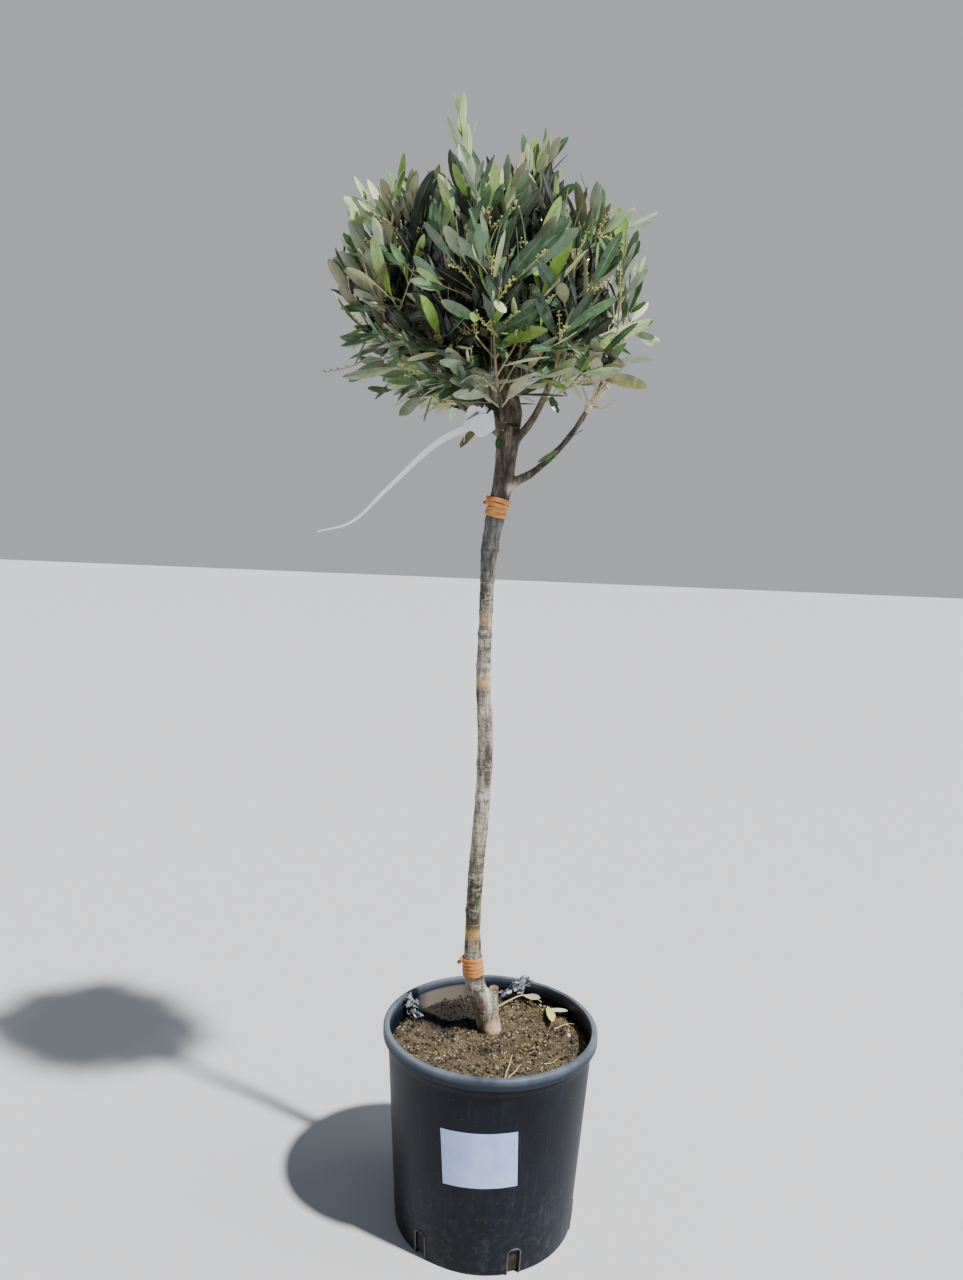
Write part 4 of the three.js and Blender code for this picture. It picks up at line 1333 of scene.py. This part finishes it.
finish_piece(petioles.piece("leaf_stalks", [stalk]), "leaf")


# Flower buds: small upright sprays of round green buds at the twigs' joints

def bud_sprays():
    random = seeded(SEED + 424243)
    buds = Gather()
    stalks = Gather()
    for twig, share in clusters:
        root = twig["root"] + twig["towards"] * twig["length"] * share
        for towards in pair_directions(twig["towards"], random(0, math.pi), 0.7, 0.4):
            length = random(16, 34)
            bowed = UP * length * random(-0.1, 0.16)
            points = [root + towards * length * t + bowed * t * (1 - t) * 4 for t in (0, 0.35, 0.7, 1)]
            stalks.add(*tube(points, [0.75, 0.65, 0.5, 0.35], 5))
            steps = int(length / 4)
            for i in range(1, steps + 1):
                spot = points[0].lerp(points[-1], i / steps) + bowed * (i / steps) * (1 - i / steps) * 4
                for side in pair_directions(towards, i * 1.6, 1.1, 0.2):
                    buds.add(*ball(spot + side * random(1.4, 2.6), random(0.8, 1.25)))
    return buds, stalks


buds, bud_stalks = bud_sprays()
bud_skin = plain_finish("bud_skin", (172, 178, 92), (208, 208, 132), 0.5)
finish_piece(buds.piece("flower_buds", [bud_skin]), "leaf")
finish_piece(bud_stalks.piece("bud_stalks", [stalk]), "leaf")


# Pot

def wall_radius(z):
    return lerp(POT["foot_radius"], POT["shoulder_radius"], z / (POT["height"] - POT["lip_height"]))


def rounded_corner(centre, radius, start, end, steps):
    angles = [math.radians(lerp(start, end, i / steps)) for i in range(steps + 1)]
    return [(centre[0] + radius * math.cos(a), centre[1] + radius * math.sin(a)) for a in angles]


def pot_outline():
    lip, high, wall = POT["lip_radius"], POT["height"], POT["wall"]
    under = high - POT["lip_height"]
    outer = [(0.01, 0), (60, 0), (POT["foot_radius"] - 2, 0)]
    outer += rounded_corner((POT["foot_radius"] - 2, 2), 2, -80, 0, 4)
    outer += [(wall_radius(z), z) for z in (8, 40, 80, 120, 160, 190, 198)]
    outer += [(wall_radius(200) + 0.1, 200), (wall_radius(201) + 0.8, 201.2)]
    outer += [(wall_radius(204) + 0.8, 204), (wall_radius(206) + 1.2, under - 0.5), (lip - 2, under)]
    outer += rounded_corner((lip - 1.6, under + 1.6), 1.6, -80, 0, 4)
    outer += rounded_corner((lip - 3.2, high - 3.2), 3.2, 8, 90, 6)
    outer += rounded_corner((wall_radius(high) - wall + 1, high - 1), 1, 90, 180, 3)
    outer += [(wall_radius(z) - wall, z) for z in (214, 206, 195, 180)]
    return outer + [(wall_radius(3) - wall, POT["floor"]), (0.01, POT["floor"])]


# Slots to cut through the wall: a flat foot, and a head with a notch.
def slot_cutter():
    gather = Gather()
    half = SLOTS["width"] / 2
    top = SLOTS["height"]
    shape = [(-half, -2), (half, -2), (half, top - 4), (half - 1.2, top - 1.2), (1.5, top - 1.6)]
    shape += [(0, top - 3.2), (-1.5, top - 1.4), (-half + 1.2, top - 1), (-half, top - 4)]
    for i in range(SLOTS["count"]):
        turn = Matrix.Rotation(math.radians(SLOTS["first"] + i * 360 / SLOTS["count"]), 3, "Z")
        verts = [turn @ Vector((radius, y, z)) for radius in (88, 112) for y, z in shape]
        gather.add(verts, ring_faces(2, len(shape)))
    return gather


def pot_piece():
    material = pot_finish()
    outline = pot_outline()
    verts = [spot for radius, z in outline for spot in circle(radius, z, POT["sides"])]
    whole = mesh_piece("pot_whole", verts, ring_faces(len(outline), POT["sides"]), [material])
    cutter = slot_cutter().piece("slot_cutter", [material], smooth=False)
    cut = whole.modifiers.new("slots", "BOOLEAN")
    cut.operation = "DIFFERENCE"
    cut.solver = "EXACT"
    cut.object = cutter
    mesh = applied(whole, material)
    bpy.data.objects.remove(cutter)
    mesh.set_sharp_from_angle(angle=math.radians(40))
    return link_object("pot_body", mesh)


# A thin raised frame round each slot.
def slot_frames():
    gather = Gather()
    half = SLOTS["width"] / 2 + 0.9
    top = SLOTS["height"] + 0.9
    path = [(-half, 1), (-half, 12), (-half, top - 3), (-half + 3, top)]
    path += [(half - 3, top), (half, top - 3), (half, 12), (half, 1)]
    for i in range(SLOTS["count"]):
        turn = math.radians(SLOTS["first"] + i * 360 / SLOTS["count"])
        spots = [(wall_radius(z) + 0.1, across, z) for across, z in path]
        points = [polar(radius, turn + across / radius, z) for radius, across, z in spots]
        gather.add(*tube(points, [0.9] * len(points), 8))
    return gather


finish_piece(pot_piece(), "pot", "pot")
frame_plastic = plain_finish("frame_plastic", (44, 47, 54), (84, 86, 90), 0.5, 300)
finish_piece(slot_frames().piece("slot_frames", [frame_plastic]), "pot")


# Soil

def off_foot(x, y):
    return math.hypot(x - TRUNK[1][1], y - TRUNK[1][2])


def soil_height(x, y):
    near, far = SOIL["level_radius"], SOIL["level_radius"] * 2
    share = clamp((off_foot(x, y) - near) / (far - near))
    loose = share * share * (3 - 2 * share)
    lumps = math.sin(x / 17 + 1) * math.cos(y / 23) + 0.6 * math.sin(x / 9 - y / 11)
    away = math.hypot(x - SOIL["hollow"][0], y - SOIL["hollow"][1]) / SOIL["hollow_radius"]
    hollow = SOIL["hollow_depth"] * math.exp(-away * away)
    return SOIL["level"] + loose * (SOIL["lump"] * lumps - hollow)


# The soil's grain: height and size of each noise, and the level that it is taken from
GRAINS = [(1.8, 7, 3), (1.3, 2.6, 9), (0.5, 1.2, 17)]


def ground(x, y, above=0.0):
    rough = sum(high * noise_at(x, y, level, size) for high, size, level in GRAINS) - 0.6
    return Vector((x, y, soil_height(x, y) + rough + above))


def soil_piece():
    rings, sides = 74, 220
    rim = wall_radius(SOIL["level"]) - POT["wall"] - GAP
    verts = []
    for ring in range(rings + 1):
        radius = max(rim * ring / rings, 0.01)
        edge = 3.5 * clamp((radius - rim + 7) / 7) ** 2
        verts += [ground(x, y, -edge) for x, y, _ in circle(radius, 0, sides)]
    verts += circle(wall_radius(POT["floor"]) - POT["wall"] - GAP, POT["floor"] + GAP, sides)
    faces = ring_faces(rings + 2, sides)[:-2]
    top = rings * sides
    faces[:top] = [face[::-1] for face in faces[:top]]
    faces.append([top + sides + k for k in range(sides)][::-1])
    bed = soil_finish("soil_bed", (36, 29, 21), (104, 88, 62))
    # The soil's side, seen through the slots, is darker than its top: painted shade inside the pot
    side = plain_finish("soil_side_painted_shade", (14, 12, 10), (58, 50, 40), 0.95, 160, relief=1.0)
    return mesh_piece("soil_body", verts, faces, [bed, side], [0] * top + [1] * (sides + 1))


def crumb(random, centre, size):
    verts, faces = ball(Vector((0, 0, 0)), size, random(0.5, 0.9))
    turn = Quaternion(Vector((random(-1, 1), random(-1, 1), random(-1, 1))).normalized(), random(0, 6))
    verts = [turn @ (v * random(0.75, 1.2)) + centre for v in verts]
    return verts, faces


CRUMBS = [
    # name, how many, smallest and largest radius, colours
    ("dark", 1700, 0.6, 2.7, (28, 23, 18), (58, 48, 38)),
    ("brown", 1500, 0.6, 2.3, (90, 76, 52), (132, 114, 80)),
    ("tan", 900, 0.5, 1.5, (164, 148, 106), (206, 190, 146)),
    ("pale", 90, 0.5, 1.4, (200, 194, 176), (232, 228, 214)),
]


def scatter_crumbs():
    random = seeded(SEED + 777)
    rim = wall_radius(SOIL["level"]) - POT["wall"] - 3
    for name, count, least, most, low, high in CRUMBS:
        gather = Gather()
        while count > 0:
            x, y, _ = polar(rim * math.sqrt(random()), random(0, 2 * math.pi), 0)
            if off_foot(x, y) < SOIL["clear"]:
                continue
            size = lerp(least, most, random() ** 2)
            gather.add(*crumb(random, ground(x, y, size * 0.2), size))
            count -= 1
        material = soil_finish(f"soil_{name}", low, high)
        finish_piece(gather.piece(f"crumbs_{name}", [material], smooth=False), "soil")


finish_piece(soil_piece(), "soil", "soil")
scatter_crumbs()


# What lies on the soil: straws, fallen leaves, pebbles and shreds of film

STRAWS = [
    # points on the soil with their height above it, and the thickness
    ([(9, 79, 4), (22, 84, 7), (36, 92, 8), (49, 92, 8), (60, 86, 5)], 1.0),
    ([(17, -78, 4), (19, -68, 5), (22, -58, 9), (24, -50, 13)], 0.7),
    ([(19, -76, 3), (27, -68, 5), (33, -60, 8)], 0.6),
    ([(74, 34, 2), (88, 42, 3), (97, 40, 3)], 0.6),
    ([(-78, -26, 1), (-66, -34, 1), (-58, -33, 1)], 0.4),
    ([(58, -42, 1), (68, -36, 1), (74, -26, 1)], 0.4),
]


def straws():
    gather = Gather()
    for spots, thickness in STRAWS:
        line = smooth_line([ground(x, y, above) for x, y, above in spots])
        points = [line.point(i / 14) for i in range(15)]
        radii = [thickness * (1 - 0.5 * i / 14) for i in range(15)]
        gather.add(*tube(points, radii, 6))
    return gather


FALLEN = [
    # place on the soil, heading in degrees, length, height above the soil and kind
    (66, 74, 279, 40, 5, "yellow"),
    (60, 65, 345, 30, 4, "pale"),
    (35, 93, 338, 27, 8, "pale"),
]
FALLEN_KINDS = {
    "yellow": ((196, 188, 96), (222, 212, 128), 0.55),
    "pale": ((206, 190, 150), (228, 214, 178), 0.6),
}


def fallen_leaves():
    random = seeded(SEED + 5)
    groups = {kind: Gather() for kind in FALLEN_KINDS}
    for x, y, heading, length, above, kind in FALLEN:
        leaf = {"root": ground(x, y, above), "towards": direction(heading, 6), "size": length}
        leaf["blade"] = Vector((0, -0.5, 0.86))
        groups[kind].add(blade_verts(leaf, random), blade_faces()[0])
    for kind, values in FALLEN_KINDS.items():
        skin = leaf_finish(f"leaf_{kind}", *values)
        finish_piece(groups[kind].piece(f"fallen_{kind}", [skin]), "leaf")


# Shreds of thin black film, crumpled against the pot's wall: where each lot starts and ends, and
# how many it has
SHREDS = [
    ((-101, 48, 221), (-83, 45, 198), 13),
    ((16, 100, 203), (46, 98, 226), 15),
]
SHREDS_WITHIN = 106
# Places and sizes
PEBBLES = [(8, -53, 3.6), (-84, -42, 2.2), (70, -48, 2.4), (30, 20, 2), (88, 18, 2.6)]


def film_shreds():
    random = seeded(SEED + 31)
    gather = Gather()
    for start, end, count in SHREDS:
        for _ in range(count):
            first = Vector(start) + Vector((random(-7, 7), random(-7, 7), random(-4, 2)))
            last = Vector(end) + Vector((random(-8, 8), random(-8, 8), random(-2, 3)))
            points, facings, widths = [], [], []
            for i in range(9):
                spot = first.lerp(last, i / 8) + Vector((random(-3, 3), random(-3, 3), random(-2, 4)))
                spot *= min(1, SHREDS_WITHIN / math.hypot(spot.x, spot.y))
                spot.z = max(lerp(first.z, last.z, i / 8) + random(-2, 4), soil_height(spot.x, spot.y))
                points.append(spot)
                facings.append(Vector((random(-1, 1), random(-1, 0.2), random(0.2, 1))))
                widths.append(random(1.5, 6) * (1 - 0.6 * abs(i - 4) / 4))
            gather.add(*strip(points, widths, facings, 0.25))
    return gather


def pebbles():
    random = seeded(SEED + 8)
    gather = Gather()
    for x, y, size in PEBBLES:
        gather.add(*crumb(random, ground(x, y, size * 0.4), size))
    return gather


straw_skin = plain_finish("straw", (196, 170, 112), (226, 206, 156), 0.6, 300)
finish_piece(straws().piece("straws", [straw_skin]), "soil")
fallen_leaves()
film = plain_finish("black_film", (40, 44, 52), (176, 181, 190), 0.35, 110)
finish_piece(film_shreds().piece("film_shreds", [film], smooth=False), "pot")
stone = plain_finish("pebble", (188, 176, 158), (226, 218, 204), 0.7)
finish_piece(pebbles().piece("pebbles", [stone]), "soil")


# Ties: a narrow tape wound tight round the trunk, with a knot at the left

TIES = [
    # name, height, winds, spread of the winds, how far the tape stands out, the knot's azimuth
    ("tie_upper", 781, 4, 20, 0.9, 205),
    ("tie_lower", 273, 5, 21, 0.9, 200),
]
TAPE = 1.5
# The two loose ends at the knot: heading and length, and the widths along each
ENDS = [((-0.5, -0.6, 0.9), 6), ((-0.9, -0.2, -0.2), 7)]
END_WIDTHS = (4.2, 3, 3.6, 4.2, 4.4, 4.2, 3.8)


# One wind of the tape, a little tilted and uneven.
def wind_strip(centre, axis, offset, width, proud, random):
    tilt = random(-0.6, 0.6)
    phase = random(0, 6)
    lift = random(0.0, 0.7)
    points, facings, widths = [], [], []
    for angle, out in turns_round(axis, 48):
        height = offset + tilt * math.sin(angle + phase) + 0.15 * math.sin(4 * angle + phase)
        spot = centre + axis * height
        points.append(spot + out * (trunk_radius_at_height(spot.z) + proud + lift))
        facings.append(out)
        widths.append(width * 0.98 + 0.4 * math.sin(2 * angle + phase))
    return strip(points, widths, facings, TAPE, ROUNDED)


def tie_piece(name, z, winds, spread, proud, knot, material):
    share = min(range(1000), key=lambda i: abs(trunk_curve.point(i / 1000).z - z)) / 1000
    centre = trunk_curve.point(share)
    axis = trunk_curve.tangent(share)
    random = seeded(SEED + int(z))
    gather = Gather()
    for wind in range(winds):
        offset = lerp(-spread / 2, spread / 2, (wind + 0.5) / winds)
        gather.add(*wind_strip(centre, axis, offset, spread / winds, proud, random))
    out = direction(knot, 0)
    start = centre + out * (trunk_radius_at_height(z) + proud) + axis * 6
    for heading, length in ENDS:
        run = Vector(heading) * length
        points = [start + run * i / 6 + axis * math.sin(i) * 0.4 for i in range(7)]
        facings = [Vector((0.3, -1, 0.2 * i)) for i in range(7)]
        gather.add(*strip(points, END_WIDTHS, facings, 0.9))
    gather.add(*ball(start + out * 0.6, 2.6, 0.8))
    return gather.piece(name.replace("tie", "tape"), [material])


tape = plain_finish("tie_tape", (186, 116, 50), (222, 158, 88), 0.42, 120, (1, 1, 3), 0.15)
for row in TIES:
    finish_piece(tie_piece(*row, tape), "tie", row[0])


# Label: a blank sticker, bent round the wall, with slight creases; its two sides stand out from
# the wall by its layers

LABEL = {"width": 78, "height": 60, "azimuth": 267, "z": 129, "turn": 3}
LABEL |= {"columns": 40, "rows": 30, "layers": (0.55, 0.3), "crease": 0.12}


def label_point(share_across, share_up, layer):
    turn = math.radians(LABEL["turn"])
    u, v = LABEL["width"] * (share_across - 0.5), LABEL["height"] * (share_up - 0.5)
    across = u * math.cos(turn) - v * math.sin(turn)
    z = LABEL["z"] + u * math.sin(turn) + v * math.cos(turn)
    radius = wall_radius(z) + layer + LABEL["crease"] * noise_at(u, v, 5, 16)
    return polar(radius, math.radians(LABEL["azimuth"]) + across / wall_radius(LABEL["z"]), z)


def label_piece(material):
    columns, rows = LABEL["columns"], LABEL["rows"]
    grid = [(k / columns, i / rows) for i in range(rows + 1) for k in range(columns + 1)]
    verts = [label_point(*shares, layer) for layer in LABEL["layers"] for shares in grid]
    back, up = len(grid), columns + 1
    faces = []
    for i in range(rows):
        for a in range(i * up, i * up + columns):
            faces.append([a, a + 1, a + up + 1, a + up])
            faces.append([back + a + up, back + a + up + 1, back + a + 1, back + a])
    edge = list(range(up))
    edge += [i * up + columns for i in range(1, rows + 1)]
    edge += [rows * up + k for k in range(columns - 1, -1, -1)]
    edge += [i * up for i in range(rows - 1, 0, -1)]
    faces += [[b, a, back + a, back + b] for a, b in zip(edge, edge[1:] + edge[:1])]
    return mesh_piece("sticker", verts, faces, [material])


paper = plain_finish("sticker_film", (164, 184, 238), (188, 204, 252), 0.4, 60, relief=0.1)
finish_piece(label_piece(paper), "label", "pot_label")


# Tag: a head with a slit, looped on a bough, and a long strap

TAG = {"at": 0.2, "head": 30, "thickness": 0.8, "width": 7, "tip": 2.6, "twist": -66}
LOOP = {"room": 0.6, "width": 6, "thickness": 0.6}
STRAP = [(-9, -3), (-43, -22), (-93, -70), (-130, -106), (-165, -117)]
# The head's plate, the round lobe behind it, the slit between them and a loose thread, across
# and up from the head's middle
PLATE = [
    (-20, -2.5),
    (-15, 0.5),
    (-9.5, 4.5),
    (-1.5, 8.8),
    (7, 9.4),
    (11, 13.5),
    (12.6, 12.5),
    (14.3, 3.5),
    (15.4, -5.5),
    (12.5, -8.4),
    (3.5, -14),
    (-3, -14.2),
    (-7, -9),
    (-13, -7.2),
    (-20, -8),
]
LOBE = {"across": -6, "up": 9.5, "radius": 8.6}
SLIT = [(-13.5, 2.4), (-8, 6.6), (-2.6, 10.2)]
THREAD = [(-15.2, 8), (-15.6, -2), (-15.4, -12), (-16, -20)]


# A plate with its outline across and up, its two sides at a front and a back depth, and a bow.
def plate(outline, middle, front, back, bow):
    verts = []
    for depth in (front, back):
        verts += [middle + Vector((x, depth + bow * (x * x - 60) / 200, z)) for x, z in outline]
    return verts, [face[::-1] for face in ring_faces(2, len(outline))]


def strap_strip(middle):
    spots = [(x, -0.9 - 2 * min(i, 1), z) for i, (x, z) in enumerate(STRAP)]
    route = smooth_line([middle + Vector(spot) for spot in spots])
    points, facings, widths = [], [], []
    for i in range(61):
        share = i / 60
        points.append(route.point(share))
        twist = Quaternion(route.tangent(share), math.radians(TAG["twist"]) * share)
        facings.append(twist @ Vector((0, -1, 0)))
        widths.append(lerp(TAG["width"], TAG["tip"], share))
    return strip(points, widths, facings, TAG["thickness"])


def tag_pieces(material, dark):
    curve, radius_at = routes["left"]
    centre = curve.point(TAG["at"])
    radius = radius_at(TAG["at"]) + LOOP["room"]
    middle = centre + Vector((-2, -radius - 0.45, -TAG["head"] * 0.45))
    gather = Gather()
    gather.add(*plate(PLATE, middle, -1.4, -0.6, 0.9))
    lobe = [(LOBE["across"] + x, LOBE["up"] + y) for x, y, _ in circle(LOBE["radius"], 0, 18)]
    gather.add(*plate(lobe, middle, -0.4, 0.4, 0))
    gather.add(*strap_strip(middle))
    facings = [out for _, out in turns_round(curve.tangent(TAG["at"]), 32)]
    loop = [centre + out * (radius + 0.45) for out in facings]
    gather.add(*strip(loop, [LOOP["width"]] * len(loop), facings, LOOP["thickness"]))
    thread = [middle + Vector((x, -2.6, z)) for x, z in THREAD]
    gather.add(*tube(thread, [0.35] * len(thread), 5))
    # A dark strip of film over the slit: painted shade for its opening
    eye = Gather()
    slit = [middle + Vector((x, -1.7, z)) for x, z in SLIT]
    eye.add(*strip(slit, [1.2, 1.6, 2.6], [Vector((0, -1, 0))] * 3, 0.5))
    return gather.piece("strap_tag", [material]), eye.piece("slit_shade", [dark])


tag_plastic = plain_finish("tag_plastic", (234, 235, 238), (248, 248, 250), 0.38, 90, relief=0.05)
tag, slit_shade = tag_pieces(tag_plastic, film)
finish_piece(tag, "tag", "plant_tag")
finish_piece(slit_shade, "tag")


# Floor, light and camera

LAMPS = [
    # name, azimuth, elevation, strength, and spread in degrees
    ("key", -32, 56, 7.0, 3),
    ("fill", -4, 24, 0.7, 50),
]
FLOOR_REACH = 30000


def lay_floor():
    paint = Finish("floor_paint", roughness=0.9)
    paint.colour(linear(206, 206, 208))
    corners = [(-1, -1, 0), (1, -1, 0), (1, 1, 0), (-1, 1, 0)]
    verts = [Vector(corner) * FLOOR_REACH for corner in corners]
    floor = mesh_piece("floor", verts, [[0, 1, 2, 3]], [paint.material], smooth=False)


# A plain sky for the light, and a paler backdrop that only the camera sees.
def set_world():
    world = bpy.data.worlds.new("studio")
    world.use_nodes = True
    nodes, links = world.node_tree.nodes, world.node_tree.links
    sky = nodes["Background"]
    backdrop = nodes.new("ShaderNodeBackground")
    for node, colour, strength in ((sky, (206, 216, 232), 0.3), (backdrop, (222, 224, 228), 0.6)):
        node.inputs["Color"].default_value = linear(*colour)
        node.inputs["Strength"].default_value = strength
    switch = nodes.new("ShaderNodeMixShader")
    links.new(nodes.new("ShaderNodeLightPath").outputs["Is Camera Ray"], switch.inputs["Fac"])
    links.new(sky.outputs["Background"], switch.inputs[1])
    links.new(backdrop.outputs["Background"], switch.inputs[2])
    links.new(switch.outputs["Shader"], nodes["World Output"].inputs["Surface"])
    bpy.context.scene.world = world


def add_lamps():
    for name, azimuth, elevation, strength, spread in LAMPS:
        lamp = bpy.data.lights.new(name, "SUN")
        lamp.energy = strength
        lamp.angle = math.radians(spread)
        towards = -direction(azimuth, elevation)
        link_object(name, lamp).rotation_euler = towards.to_track_quat("-Z", "Y").to_euler()


def camera_axes():
    yaw, roll = math.radians(CAMERA["yaw"]), math.radians(CAMERA["roll"])
    forward = direction(90 - CAMERA["yaw"], -CAMERA["pitch"])
    right = Vector((math.cos(yaw), -math.sin(yaw), 0))
    up = right.cross(forward)
    turned_right = right * math.cos(roll) + up * math.sin(roll)
    turned_up = up * math.cos(roll) - right * math.sin(roll)
    return turned_right, turned_up, forward


def add_camera():
    right, up, forward = camera_axes()
    data = bpy.data.cameras.new("camera")
    data.lens = CAMERA["lens"]
    data.sensor_width = 36
    data.sensor_fit = "AUTO"
    camera = link_object("camera", data)
    turn = Matrix((right, up, -forward)).transposed().to_4x4()
    camera.matrix_world = Matrix.Translation(Vector(CAMERA["place"]) * MM) @ turn
    bpy.context.scene.camera = camera


lay_floor()
set_world()
add_lamps()
add_camera()
